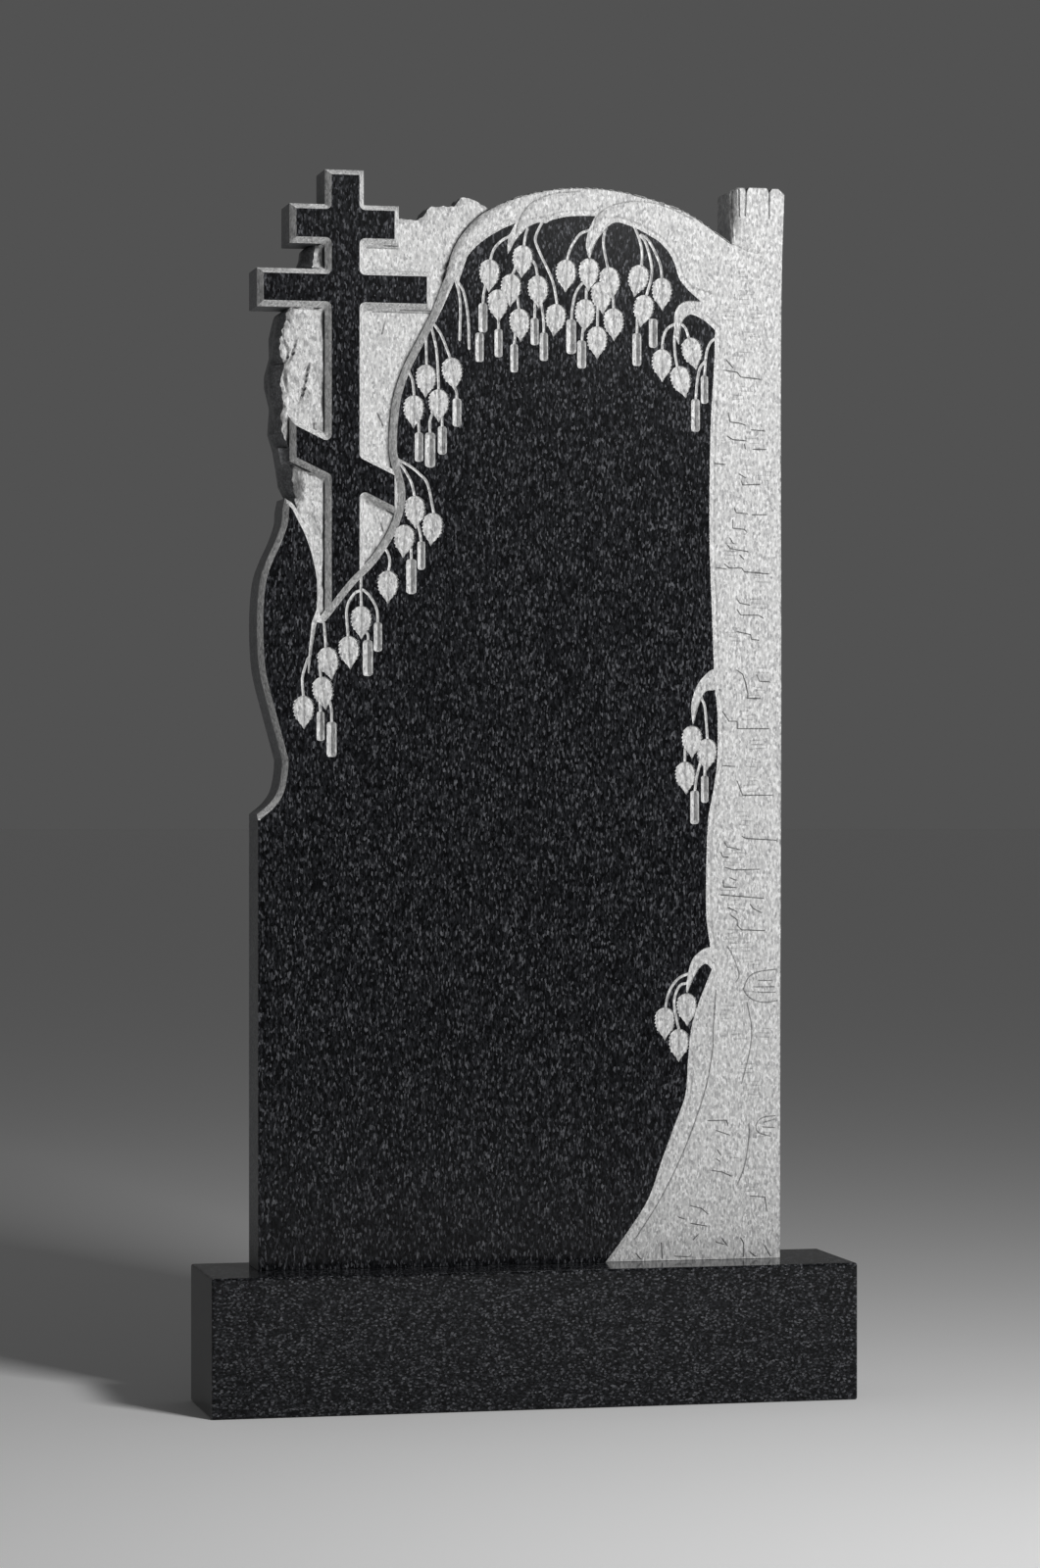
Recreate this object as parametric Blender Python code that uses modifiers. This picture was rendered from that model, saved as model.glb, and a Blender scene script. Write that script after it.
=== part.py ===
"""Carved upright headstone: a birch and a three-barred cross cut from one slab, on a plinth.

Metres, +Z up, front towards -Y. The origin is the middle of the plinth's underside.
The slab is drawn from the front: u runs right from its left edge, v runs up from its foot.
The drawing is in millimetres of the real slab and is scaled to SLAB_WIDTH and SLAB_HEIGHT.
"""

import math

import bmesh
import bpy
from mathutils import Matrix, Vector, noise

# Slab
SLAB_WIDTH = 0.573
SLAB_HEIGHT = 1.1605
SLAB_THICKNESS = 0.060
EDGE_CHAMFER = 0.0055
STUMP_ROUNDING = 0.012

# Plinth, as margins around the slab's foot
LEFT_MARGIN = 0.059
RIGHT_MARGIN = 0.068
FRONT_MARGIN = 0.064
BACK_MARGIN = 0.026
PLINTH_HEIGHT = 0.147
PLINTH_ROUNDING = 0.0025
SEAT_GAP = 0.0003

# Cross, its bars given from the top down
CROSS_AXIS = 0.094
CROSS_TOP = 1.167
STEM_WIDTH = 0.042
UPPER_BAR_WIDTH = 0.118
UPPER_BAR_HEIGHT = 0.042
UPPER_BAR_MIDDLE = 1.109
MAIN_BAR_WIDTH = 0.188
MAIN_BAR_HEIGHT = 0.041
MAIN_BAR_MIDDLE = 1.0405
FOOT_BAR_WIDTH = 0.118
FOOT_BAR_HEIGHT = 0.0466
FOOT_BAR_MIDDLE = 0.8515
FOOT_BAR_SLOPE = -0.48
CROSS_CHAMFER = 0.006

# Hewn rock ground behind the cross
GROUND_DEPTH = 0.011
GROUND_FACET = 0.015
GROUND_ROUGHNESS = 0.003
GROUND_WAVES_ACROSS = 45.0
GROUND_WAVES_UP = 30.0
ROCK_BACK_LEAN = 0.009
ROCK_BACK_UNEVENNESS = 0.5
ROCK_BACK_WAVES = 60.0

# Carving in the polished face
BORDER_HALF_WIDTH = 0.0045
BRANCH_BED_DEPTH = 0.0042
BRANCH_RISE = 0.0030
BRANCH_SUNK = 0.0004
BRANCH_SLIMNESS = 0.72
LEAF_WIDTH = 0.023
LEAF_LENGTH = 0.0355
LEAF_DEPTH = 0.0020
LEAF_DEPTH_STEP = 0.0006
LEAF_TEETH = 4
LEAF_TOOTH = 0.12
LEAF_WIDEST_AT = 0.4
LEAF_BLUNTNESS = 0.75
LEAF_TIP_FROM = 0.75
LEAF_TIP_NARROWING = 0.4
LEAF_NECK = 0.0021
CATKIN_WIDTH = 0.0096
CATKIN_RAISED = 0.0012
CATKIN_END_WIDTH = 0.7
CATKIN_END_LENGTH = 0.5
STALK_WIDTH = 0.0030
STALK_LAP = 2.0
CREASE_WIDTH = 0.0024
GROOVE_END = 0.4

# Working values
CUT_CLEARANCE = 0.004
SPARE_BACK = 0.001
STEM_FOOT_LAP = 0.0015
ROCK_MARGIN = 12.0
OUTLINE_SPACING = 15.0
STALK_SPACING = 11.0
TRIM_OVERSIZE = 3.0
TOUCH = 0.0001
WELD = 0.000001
FLAT_ANGLE = 0.0005
SEED = 7

# Size of the drawing that the points below belong to
MM = 0.001
DRAWN_WIDTH = 573.0
DRAWN_HEIGHT = 1160.5

# Left edge of the slab above its shoulder, up to the peak of the small field
LEFT_EDGE = [(0, 482), (14, 494), (23, 509), (27, 535), (24.5, 549), (13.7, 589), (3.6, 629), (0.4, 662),
             (0.4, 700), (3.6, 731), (10.8, 752), (20, 772), (26.5, 791), (27.5, 804), (30, 817)]
# Right edge of the small field, from its peak down to the notch
SMALL_FIELD_EDGE = [(30, 817), (39, 811), (46, 799), (56, 779), (63, 758), (68, 735), (69, 714), (67.5, 692)]
# Left edge of the main field: the strand that climbs from the notch to the bough
STRAND_EDGE = [(67.5, 692), (75, 701), (98, 730), (118, 750), (133, 770), (144, 790), (151, 812),
               (151, 830), (146, 850), (142.5, 870), (143.5, 900), (148, 930), (158.5, 960), (174, 990),
               (189.5, 1020), (201, 1050)]
# Outer edge of the bough, from the strand to the fork with the trunk
BOUGH_EDGE = [(201, 1050), (209, 1078), (220, 1100), (240, 1122), (262, 1135), (290, 1146), (325, 1153),
              (365, 1155), (402, 1151), (440, 1142), (470, 1131), (500, 1112), (519, 1099)]
# Broken-off top of the trunk, with its two splits
STUMP_TOP = [(519, 1157), (525, 1160), (533, 1160), (535.5, 1155), (538, 1160.5), (558, 1160.5),
             (561, 1155), (564, 1160), (571, 1160), (578, 1154)]
TRUNK_RIGHT_EDGE = [(578, 1154), (575, 1060), (574, 900), (574.5, 600), (573.5, 300), (573, 0)]

# Rock: its ragged left and top outline, then a line that stays inside the two fields
ROCK_OUTLINE = [(42, 800), (43.5, 812), (41, 832), (41, 850), (37, 866), (29, 886), (27, 905), (29.5, 920),
                (26.5, 942), (30.5, 958), (26.5, 972), (26.5, 988), (32, 1005), (35, 1020), (45, 1036),
                (59, 1060), (64, 1078), (64, 1110), (140, 1117), (169, 1116), (180, 1120), (186, 1128),
                (211, 1132), (222, 1141), (235, 1140), (256, 1124), (235, 1100), (215, 1050), (200, 1010),
                (163, 930), (162, 850), (166, 810), (140, 760), (90, 700), (64, 672), (56, 720), (48, 760)]
ROCK_LEFT_EDGE_POINTS = 18

# Inner edges of the tree, each followed so that the tree lies on its right
BORDERS = {
    "trunk_foot": [(378, 0), (401, 31), (426, 68), (440, 108), (457, 152), (468, 190), (471, 237),
                   (482, 280), (495, 309)],
    "trunk_low": [(494, 342), (490, 385), (491, 450), (497, 503), (502.5, 544), (502.5, 590), (500, 614)],
    "trunk_high": [(498.5, 642), (496, 710), (493.5, 790), (496, 915), (500, 1003)],
    "bough_right": [(484, 1037), (465, 1052), (457, 1070), (447, 1089), (430, 1104), (407, 1114),
                    (390, 1119), (381, 1113)],
    "bough_middle": [(366, 1125), (340, 1124), (316, 1120), (303, 1116), (294, 1112)],
    "bough_left": [(277, 1114), (250, 1100), (229, 1081), (216, 1060), (207, 1035)],
    "strand_tip": [(64, 686), (60, 668), (55, 640)],
}

# Drooping branches: middle line from root to tip, with the half width at each point
BRANCHES = {
    "branch_left": [(287, 1117, 6.5), (280, 1106, 5.6), (275.5, 1098, 4.5), (273, 1090, 3.0),
                    (270.5, 1081, 0.6)],
    "branch_middle": [(376, 1123, 7.0), (367, 1112, 6.0), (362.5, 1101, 5.0), (360.3, 1091, 3.6),
                      (360, 1080, 0.8)],
    "branch_right": [(500, 1022, 14.0), (486, 1027, 10.5), (474, 1029, 7.6), (464, 1025, 6.2),
                     (458.5, 1017, 4.4), (457.8, 1003, 2.8), (459, 989, 0.6)],
    "branch_knee": [(503, 628, 11.0), (492, 625, 8.0), (484, 616, 6.0), (479, 606, 4.4),
                    (476, 592, 2.6), (475.2, 579, 0.6)],
    "branch_low": [(500, 326, 10.5), (489, 328, 7.8), (481, 323, 5.8), (476.5, 315, 4.6),
                   (472, 303, 3.0), (468.3, 289, 0.6)],
}

# Leaves: how far the tip leans to the right, then the stalk from the branch down to the blade's top
LEAVES = [
    (0.5, [(53, 647), (48, 628), (48.7, 607)]),
    (7.2, [(71, 684), (72, 670), (72.5, 659)]),
    (5.5, [(66.3, 636), (67.5, 627)]),
    (2.5, [(110, 720), (99, 710), (95, 694), (96.7, 671)]),
    (0.0, [(110.7, 740), (110.5, 722), (111, 703)]),
    (0.0, [(135, 767), (141, 756), (140, 741)]),
    (-2.6, [(158.6, 790)]),
    (1.4, [(151, 858), (162, 842), (168.6, 821)]),
    (-3.7, [(151, 860), (171, 847), (185, 829), (189.7, 803)]),
    (-0.9, [(162, 953), (166.5, 943), (168.3, 928)]),
    (-1.4, [(181, 991), (181.7, 961)]),
    (4.6, [(190, 1005), (201, 986), (207.9, 969)]),
    (0.0, [(187, 1001), (193, 972), (195, 935)]),
    (-1.4, [(272, 1101), (257, 1090), (251, 1075)]),
    (-2.9, [(292, 1110), (288.5, 1099), (287.9, 1091)]),
    (-1.7, [(278.6, 1068), (274.6, 1060)]),
    (1.1, [(259.3, 1043)]),
    (2.1, [(280.7, 1036), (282.6, 1023)]),
    (1.6, [(296, 1077), (301, 1070), (303, 1059)]),
    (-4.2, [(309, 1120), (301, 1103), (304, 1086), (318, 1058), (324.6, 1029)]),
    (-1.4, [(359, 1110), (345, 1100), (335, 1077)]),
    (-1.3, [(360.3, 1079)]),
    (5.3, [(379, 1114), (376, 1094), (380.7, 1070)]),
    (3.3, [(372, 1054)]),
    (-2.1, [(356.7, 1047), (356.4, 1035)]),
    (-0.3, [(369.3, 1029), (368.9, 1006)]),
    (0.4, [(386.4, 1039), (387, 1026)]),
    (-8.6, [(410, 1114), (417, 1096), (417.9, 1073)]),
    (0.3, [(416, 1107), (431, 1093), (440.7, 1060)]),
    (-6.5, [(418, 1103), (429, 1076), (422.9, 1041)]),
    (8.3, [(461, 1012), (467.5, 1006), (471, 996)]),
    (0.3, [(456, 1012), (445, 1002), (440.7, 983)]),
    (10.0, [(456.5, 1009), (454, 987), (457.9, 965)]),
    (-0.3, [(474.3, 577)]),
    (-1.4, [(484, 607), (491, 588), (491.4, 563)]),
    (1.6, [(466.2, 552), (466.2, 538)]),
    (-0.3, [(470, 310), (452, 298), (444, 273)]),
    (0.8, [(468, 288)]),
    (-0.5, [(469, 300), (455, 289), (459.7, 249)]),
]

# Catkins: length, then the stalk from the branch down to the catkin's top
CATKINS = [
    (31, [(66.2, 600), (67, 591)]),
    (37, [(76.7, 602), (78.9, 580)]),
    (38, [(115.8, 678), (117.9, 667)]),
    (31, [(113.6, 720), (126, 706), (128.9, 686)]),
    (37, [(164.6, 765), (165, 753)]),
    (30, [(172, 791), (175.9, 772)]),
    (31, [(172.9, 900), (173.4, 888)]),
    (37, [(188, 909), (185.5, 888)]),
    (30, [(198.3, 906), (198.7, 895)]),
    (30, [(211, 939), (214.7, 925)]),
    (31, [(246, 1048), (243.1, 1028)]),
    (31, [(239.3, 996)]),
    (30, [(260, 1014), (260.1, 1000)]),
    (30, [(278.6, 1001), (277.2, 985)]),
    (29, [(300, 1029), (299.7, 1013)]),
    (30, [(307, 1030), (309.9, 998)]),
    (37, [(352, 1052), (342, 1036), (340, 1013)]),
    (30, [(353, 1003), (351.6, 990)]),
    (35, [(413, 1014), (412.7, 1000)]),
    (31, [(430.8, 1015)]),
    (35, [(488, 970), (481, 955), (478, 930)]),
    (30, [(501, 996), (490, 980), (488, 955)]),
    (30, [(488.4, 533), (488.3, 523)]),
    (36, [(483.3, 537), (477, 507)]),
]

# Stalks that carry nothing
BARE_STALKS = [
    [(212, 1047), (218.5, 1018), (216.4, 981)],
    [(214, 1047), (224, 1016), (226.7, 973)],
]

# Long creases down the root, and the collars where branches have healed
CREASES = [
    [(501, 292), (498, 235), (488, 180), (466, 120), (440, 68), (414, 22)],
    [(536, 277), (540, 235), (530, 190)],
    [(538, 145), (536, 112), (525, 80)],
    [(514, 338), (524, 322), (527, 308), (523, 298)],
    [(545, 295), (550, 303), (559, 303), (569, 297)],
    [(545, 289), (550, 282), (560, 282), (569, 288)],
    [(535, 1154), (533, 1134)],
    [(561, 1154), (561, 1128)],
]

# Breaks in the bark, each stepping down as it goes right
BARK_BREAKS = [
    [(511, 960), (525, 956), (550, 953)],
    [(515, 888), (534, 885), (556, 876)],
    [(520, 812), (525, 807), (558, 805)],
    [(515, 770), (536, 767)],
    [(511, 750), (529, 748), (533, 744), (559, 742)],
    [(525, 700), (550, 697)],
    [(525, 679), (541, 671)],
    [(525, 637), (534, 625), (537, 608)],
    [(509, 592), (516, 582), (560, 574)],
    [(511, 424), (550, 421)],
    [(507, 394), (555, 390)],
    [(519, 371), (530, 356), (555, 355)],
    [(493, 150), (514, 147)],
    [(497, 96), (518, 90)],
    [(540, 67), (556, 66)],
    [(474, 58), (492, 50)],
]

# Places that follow from the sizes
PLINTH_LENGTH = LEFT_MARGIN + SLAB_WIDTH + RIGHT_MARGIN
PLINTH_DEPTH = FRONT_MARGIN + SLAB_THICKNESS + BACK_MARGIN
SLAB_PLACE = (LEFT_MARGIN - PLINTH_LENGTH / 2, FRONT_MARGIN - PLINTH_DEPTH / 2, PLINTH_HEIGHT + SEAT_GAP)
SLAB_TURN = (math.pi / 2, 0.0, 0.0)


def drawn(u, v):
    """Turns a point of the drawing, in millimetres, into metres on the slab."""
    return (u / DRAWN_WIDTH * SLAB_WIDTH, v / DRAWN_HEIGHT * SLAB_HEIGHT)


def smooth(points, spacing):
    """Runs a soft curve through drawn points and returns points about spacing apart on it."""
    line = [Vector(p) for p in points]
    line = [line[0] * 2 - line[1], *line, line[-1] * 2 - line[-2]]
    result = [line[1]]
    for before, start, end, after in zip(line, line[1:], line[2:], line[3:]):
        steps = max(1, round((end - start).length / spacing))
        for step in range(1, steps + 1):
            t = step / steps
            from_start = start * (2 * t**3 - 3 * t**2 + 1) + (end - before) * 0.5 * (t**3 - 2 * t**2 + t)
            from_end = end * (3 * t**2 - 2 * t**3) + (after - start) * 0.5 * (t**3 - t**2)
            result.append(from_start + from_end)
    return [tuple(p) for p in result]


def beside(points, distance):
    """Moves each point of a line to its left by a distance."""
    result = []
    for i, point in enumerate(points):
        ahead = Vector(points[min(i + 1, len(points) - 1)])
        behind = Vector(points[max(i - 1, 0)])
        along = (ahead - behind).normalized()
        result.append((point[0] - along.y * distance, point[1] + along.x * distance))
    return result


def stone(name, colour, roughness):
    """A plain stone material."""
    material = bpy.data.materials.new(name)
    material.use_nodes = True
    shader = material.node_tree.nodes["Principled BSDF"]
    shader.inputs["Base Color"].default_value = (*colour, 1.0)
    shader.inputs["Roughness"].default_value = roughness
    shader.inputs["Metallic"].default_value = 0.0
    return material


def collection(name):
    """A new collection in the scene."""
    made = bpy.data.collections.new(name)
    bpy.context.scene.collection.children.link(made)
    return made


def on_slab(name, mesh, group, material):
    """An object in the slab's own space: x to the right, y up, z out of the polished face."""
    mesh.materials.clear()
    mesh.materials.append(material)
    piece = bpy.data.objects.new(name, mesh)
    piece.location = SLAB_PLACE
    piece.rotation_euler = SLAB_TURN
    group.objects.link(piece)
    return piece


def as_cutter(piece):
    """Marks an object as one that only shapes another."""
    piece.hide_render = True
    piece.display_type = "WIRE"
    return piece


def mesh_of_curve(name, curve, depth):
    """The closed mesh of a curve, its caps welded on, its middle moved to a depth under the face."""
    guide = bpy.data.objects.new(f"{name}_guide", curve)
    bpy.context.scene.collection.objects.link(guide)
    bpy.context.view_layer.update()
    graph = bpy.context.evaluated_depsgraph_get()
    mesh = bpy.data.meshes.new_from_object(guide.evaluated_get(graph))
    bpy.data.objects.remove(guide)
    shape = bmesh.new()
    shape.from_mesh(mesh)
    bmesh.ops.remove_doubles(shape, verts=shape.verts, dist=WELD)
    bmesh.ops.dissolve_limit(shape, angle_limit=FLAT_ANGLE, verts=shape.verts, edges=shape.edges)
    bmesh.ops.recalc_face_normals(shape, faces=shape.faces)
    bmesh.ops.translate(shape, verts=shape.verts, vec=(0.0, 0.0, -depth))
    shape.to_mesh(mesh)
    shape.free()
    return mesh


def plate(name, outline, front, back, group, material):
    """A flat outline as a solid between two depths under the polished face."""
    curve = bpy.data.curves.new(name, "CURVE")
    curve.dimensions = "2D"
    curve.fill_mode = "BOTH"
    curve.extrude = (back - front) / 2
    spline = curve.splines.new("POLY")
    spline.points.add(len(outline) - 1)
    for point, (u, v) in zip(spline.points, outline):
        point.co = (u, v, 0.0, 1.0)
    spline.use_cyclic_u = True
    return on_slab(name, mesh_of_curve(name, curve, (front + back) / 2), group, material)


def rod(name, points, halves, depth, resolution, group, material):
    """A bar along points, with a half width at each; at resolution 0 its section is a square on edge."""
    curve = bpy.data.curves.new(name, "CURVE")
    curve.dimensions = "3D"
    curve.fill_mode = "FULL"
    curve.use_fill_caps = True
    curve.bevel_depth = 1.0
    curve.bevel_resolution = resolution
    spline = curve.splines.new("POLY")
    spline.points.add(len(points) - 1)
    for point, (u, v), half in zip(spline.points, points, halves):
        point.co = (u, v, 0.0, 1.0)
        point.radius = half
    return on_slab(name, mesh_of_curve(name, curve, depth), group, material)


def soften(piece, name, width, segments, wanted):
    """Bevels the front edges for which wanted(start, end) holds, in the piece's own space."""
    weights = piece.data.attributes.new(name, "FLOAT", "EDGE")
    for edge in piece.data.edges:
        start, end = (piece.data.vertices[i].co for i in edge.vertices)
        at_face = min(start.z, end.z) > -TOUCH
        weights.data[edge.index].value = 1.0 if at_face and wanted(start, end) else 0.0
    bevel = piece.modifiers.new(name, "BEVEL")
    bevel.limit_method = "WEIGHT"
    bevel.edge_weight = name
    bevel.width = width
    bevel.segments = segments
    bevel.use_clamp_overlap = False


def combine(piece, operation, operand, solver="MANIFOLD"):
    """Adds or cuts an object, or every object of a collection.

    The cross's face lies in the plane of the fields, where the exact solver leaves open edges.
    """
    boolean = piece.modifiers.new(f"{operation.lower()}_{operand.name}", "BOOLEAN")
    boolean.operation = operation
    boolean.solver = solver
    boolean.material_mode = "TRANSFER"
    if isinstance(operand, bpy.types.Collection):
        boolean.operand_type = "COLLECTION"
        boolean.collection = operand
    else:
        boolean.object = operand


def make_fields(group, material):
    """The slab with both polished fields, the bough and the trunk, before any carving."""
    outline = [drawn(0, 0)]
    for edge in (LEFT_EDGE, SMALL_FIELD_EDGE, STRAND_EDGE, BOUGH_EDGE):
        outline.extend(drawn(*p) for p in smooth(edge, OUTLINE_SPACING) if drawn(*p) != outline[-1])
    outline.extend(drawn(*p) for p in STUMP_TOP)
    outline.extend(drawn(*p) for p in TRUNK_RIGHT_EDGE[1:])
    fields = plate("stele", outline, 0.0, SLAB_THICKNESS + SPARE_BACK, group, material)
    shoulder = drawn(*LEFT_EDGE[0])[1]
    fork_u, fork_v = drawn(*BOUGH_EDGE[-1])
    soften(fields, "field_chamfer", EDGE_CHAMFER, 1, lambda start, end: (
        min(start.y, end.y) > shoulder - TOUCH and max(start.x, end.x) < fork_u + TOUCH
        and max(abs(start.x - fork_u), abs(end.x - fork_u)) > TOUCH))
    soften(fields, "stump_rounding", STUMP_ROUNDING, 3, lambda start, end: (
        max(abs(start.x - fork_u), abs(end.x - fork_u)) < TOUCH and max(start.y, end.y) > fork_v))
    return fields


def strand_at(u):
    """The height of the strand's left edge on the drawing, above a place along the slab's foot."""
    for start, end in zip(STRAND_EDGE, STRAND_EDGE[1:]):
        if start[0] <= u <= end[0]:
            return start[1] + (end[1] - start[1]) * (u - start[0]) / (end[0] - start[0])
    return STRAND_EDGE[0][1]


def cross_outline():
    """The cross in one outline, from the foot of its stem up its right side and down its left."""
    half = STEM_WIDTH / 2
    bars = [
        (FOOT_BAR_MIDDLE, FOOT_BAR_WIDTH / 2, FOOT_BAR_HEIGHT / 2, FOOT_BAR_SLOPE),
        (MAIN_BAR_MIDDLE, MAIN_BAR_WIDTH / 2, MAIN_BAR_HEIGHT / 2, 0.0),
        (UPPER_BAR_MIDDLE, UPPER_BAR_WIDTH / 2, UPPER_BAR_HEIGHT / 2, 0.0),
    ]
    sides = {}
    for sign in (1, -1):
        edge = CROSS_AXIS + sign * half
        side = [(edge, strand_at(edge / MM) * MM - STEM_FOOT_LAP)]
        for middle, reach, rise, slope in bars:
            for out, up in ((half, -rise), (reach, -rise), (reach, rise), (half, rise)):
                side.append((CROSS_AXIS + sign * out, middle + sign * slope * out + up))
        side.append((edge, CROSS_TOP))
        sides[sign] = side
    return [drawn(u / MM, v / MM) for u, v in sides[1] + sides[-1][::-1]]


def make_cross(group, material):
    """The cross, full thickness, with chamfered front edges."""
    outline = cross_outline()
    cross = as_cutter(plate("cross", outline, 0.0, SLAB_THICKNESS + 2 * SPARE_BACK, group, material))
    stem_foot = outline[0][1]
    soften(cross, "cross_chamfer", CROSS_CHAMFER, 1, lambda start, end: (
        max(start.y, end.y) > stem_foot + TOUCH))
    return cross


def make_rock(group, material):
    """The rock behind the cross; its ragged left wall leans out towards the back."""
    outline = [drawn(*p) for p in ROCK_OUTLINE]
    rock = plate("rock", outline, GROUND_DEPTH / 2, SLAB_THICKNESS + 3 * SPARE_BACK, group, material)
    for vertex in rock.data.vertices:
        place = min(range(len(outline)), key=lambda i: math.dist(outline[i], vertex.co.xy))
        if place < ROCK_LEFT_EDGE_POINTS and vertex.co.z < -GROUND_DEPTH:
            unevenness = ROCK_BACK_UNEVENNESS * noise.noise(vertex.co * ROCK_BACK_WAVES)
            vertex.co.x -= ROCK_BACK_LEAN * (1.0 + unevenness)
    return as_cutter(rock)


def make_chisel(group, material):
    """The space in front of the hewn ground: a coarse uneven sheet, thickened to the front."""
    us, vs = zip(*ROCK_OUTLINE)
    left, low = drawn(min(us) - ROCK_MARGIN, min(vs) - ROCK_MARGIN)
    right, high = drawn(max(us) + ROCK_MARGIN, max(vs) + ROCK_MARGIN)
    shape = bmesh.new()
    columns = max(2, round((right - left) / GROUND_FACET))
    rows = max(2, round((high - low) / GROUND_FACET))
    bmesh.ops.create_grid(shape, x_segments=columns, y_segments=rows, size=0.5)
    for vertex in shape.verts:
        vertex.co.x = left + (vertex.co.x + 0.5) * (right - left)
        vertex.co.y = low + (vertex.co.y + 0.5) * (high - low)
        place = (vertex.co.x * GROUND_WAVES_ACROSS, vertex.co.y * GROUND_WAVES_UP, SEED)
        vertex.co.z = GROUND_ROUGHNESS * noise.noise(place) - GROUND_DEPTH
    front = bmesh.ops.extrude_face_region(shape, geom=shape.faces[:])
    for part in front["geom"]:
        if isinstance(part, bmesh.types.BMVert):
            part.co.z = CUT_CLEARANCE
    bmesh.ops.recalc_face_normals(shape, faces=shape.faces)
    mesh = bpy.data.meshes.new("chisel")
    shape.to_mesh(mesh)
    shape.free()
    return as_cutter(on_slab("chisel", mesh, group, material))


def make_back_trim(group, material):
    """The block that cuts the back of every part of the slab to one plane."""
    bpy.ops.mesh.primitive_cube_add(size=1.0)
    trim = bpy.context.active_object
    mesh = trim.data
    bpy.data.objects.remove(trim)
    for vertex in mesh.vertices:
        vertex.co.x = (vertex.co.x * TRIM_OVERSIZE + 0.5) * SLAB_WIDTH
        vertex.co.y = (vertex.co.y * TRIM_OVERSIZE + 0.5) * SLAB_HEIGHT
        vertex.co.z = (vertex.co.z - 0.5) * SLAB_THICKNESS - SLAB_THICKNESS
    return as_cutter(on_slab("back_trim", mesh, group, material))


def groove(name, points, width, group, material, taper=0):
    """A V-shaped cut along points in the face, running out over taper points at each end."""
    last = len(points) - 1
    halves = []
    for i in range(last + 1):
        share = min(1.0, (min(i, last - i) + GROOVE_END) / (taper + GROOVE_END))
        halves.append(width / 2 * share)
    return as_cutter(rod(name, points, halves, 0.0, 0, group, material))


def leaf_outline(top, lean):
    """A toothed oval leaf with a drawn-out tip, hanging from its top."""
    fullness = math.log(0.5) / math.log(LEAF_WIDEST_AT)
    steps = LEAF_TEETH * 2
    side = []
    for i in range(1, steps + 1):
        t = i / (steps + 1)
        reach = LEAF_WIDTH / 2 * math.sin(math.pi * t**fullness) ** LEAF_BLUNTNESS
        notch = 1.0 if i % 2 else 1.0 - LEAF_TOOTH
        taper = 1.0 - LEAF_TIP_NARROWING * max(0.0, t - LEAF_TIP_FROM) / (1.0 - LEAF_TIP_FROM)
        side.append(Vector((reach * notch * taper, -t * LEAF_LENGTH, 0.0)))
    side.insert(0, Vector((LEAF_NECK, 0.0, 0.0)))
    mirrored = [Vector((-p.x, p.y, 0.0)) for p in reversed(side)]
    turn = Matrix.Rotation(math.atan2(lean * MM, LEAF_LENGTH), 3, "Z")
    blade = [*side, Vector((0.0, -LEAF_LENGTH, 0.0)), *mirrored]
    return [(top[0] + (turn @ p).x, top[1] + (turn @ p).y) for p in blade]


def make_leaves(group, material):
    """One cutter for each leaf; neighbours are sunk to unlike depths so that each one reads."""
    for i, (lean, stalk) in enumerate(LEAVES):
        depth = LEAF_DEPTH + LEAF_DEPTH_STEP * (i % 3)
        outline = leaf_outline(drawn(*stalk[-1]), lean)
        as_cutter(plate(f"leaf_{i + 1:02d}", outline, -CUT_CLEARANCE, depth, group, material))


def make_catkins(group, material):
    """One round-bottomed cutter for each catkin."""
    half = CATKIN_WIDTH / 2
    for i, (length, stalk) in enumerate(CATKINS):
        u, v = drawn(*stalk[-1])
        foot = v - length * MM
        end = half * CATKIN_END_LENGTH
        points = [(u, v), (u, v - end), (u, foot + end), (u, foot)]
        halves = [half * CATKIN_END_WIDTH, half, half, half * CATKIN_END_WIDTH]
        as_cutter(rod(f"catkin_{i + 1:02d}", points, halves, -CATKIN_RAISED, 1, group, material))


def make_stalks(group, material):
    """One groove for each stalk, from its branch into the top of what hangs on it."""
    hanging = [stalk for _, stalk in LEAVES + CATKINS if len(stalk) > 1]
    for i, stalk in enumerate(hanging + BARE_STALKS):
        end = (stalk[-1][0], stalk[-1][1] - STALK_LAP)
        points = [drawn(*p) for p in smooth([*stalk[:-1], end], STALK_SPACING)]
        groove(f"stalk_{i + 1:02d}", points, STALK_WIDTH, group, material)


def make_tree_lines(group, material):
    """The sunk border along the tree, the creases of the root and the breaks in the bark."""
    for name, line in BORDERS.items():
        points = [drawn(*p) for p in smooth(line, OUTLINE_SPACING)]
        points = beside(points, -BORDER_HALF_WIDTH)
        groove(name, points, BORDER_HALF_WIDTH * 2, group, material, taper=1)
    for i, line in enumerate(CREASES):
        points = [drawn(*p) for p in smooth(line, OUTLINE_SPACING)]
        groove(f"crease_{i + 1:02d}", points, CREASE_WIDTH, group, material, taper=1)
    for i, line in enumerate(BARK_BREAKS):
        groove(f"bark_{i + 1:02d}", [drawn(*p) for p in line], CREASE_WIDTH, group, material)


def squash(piece, path, halves, most):
    """Flattens a bar so that none of its rings is thicker than most either side of its middle."""
    for vertex in piece.data.vertices:
        ring = min(range(len(path)), key=lambda i: math.dist(path[i], vertex.co.xy))
        vertex.co.z *= min(1.0, most / halves[ring])


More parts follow.
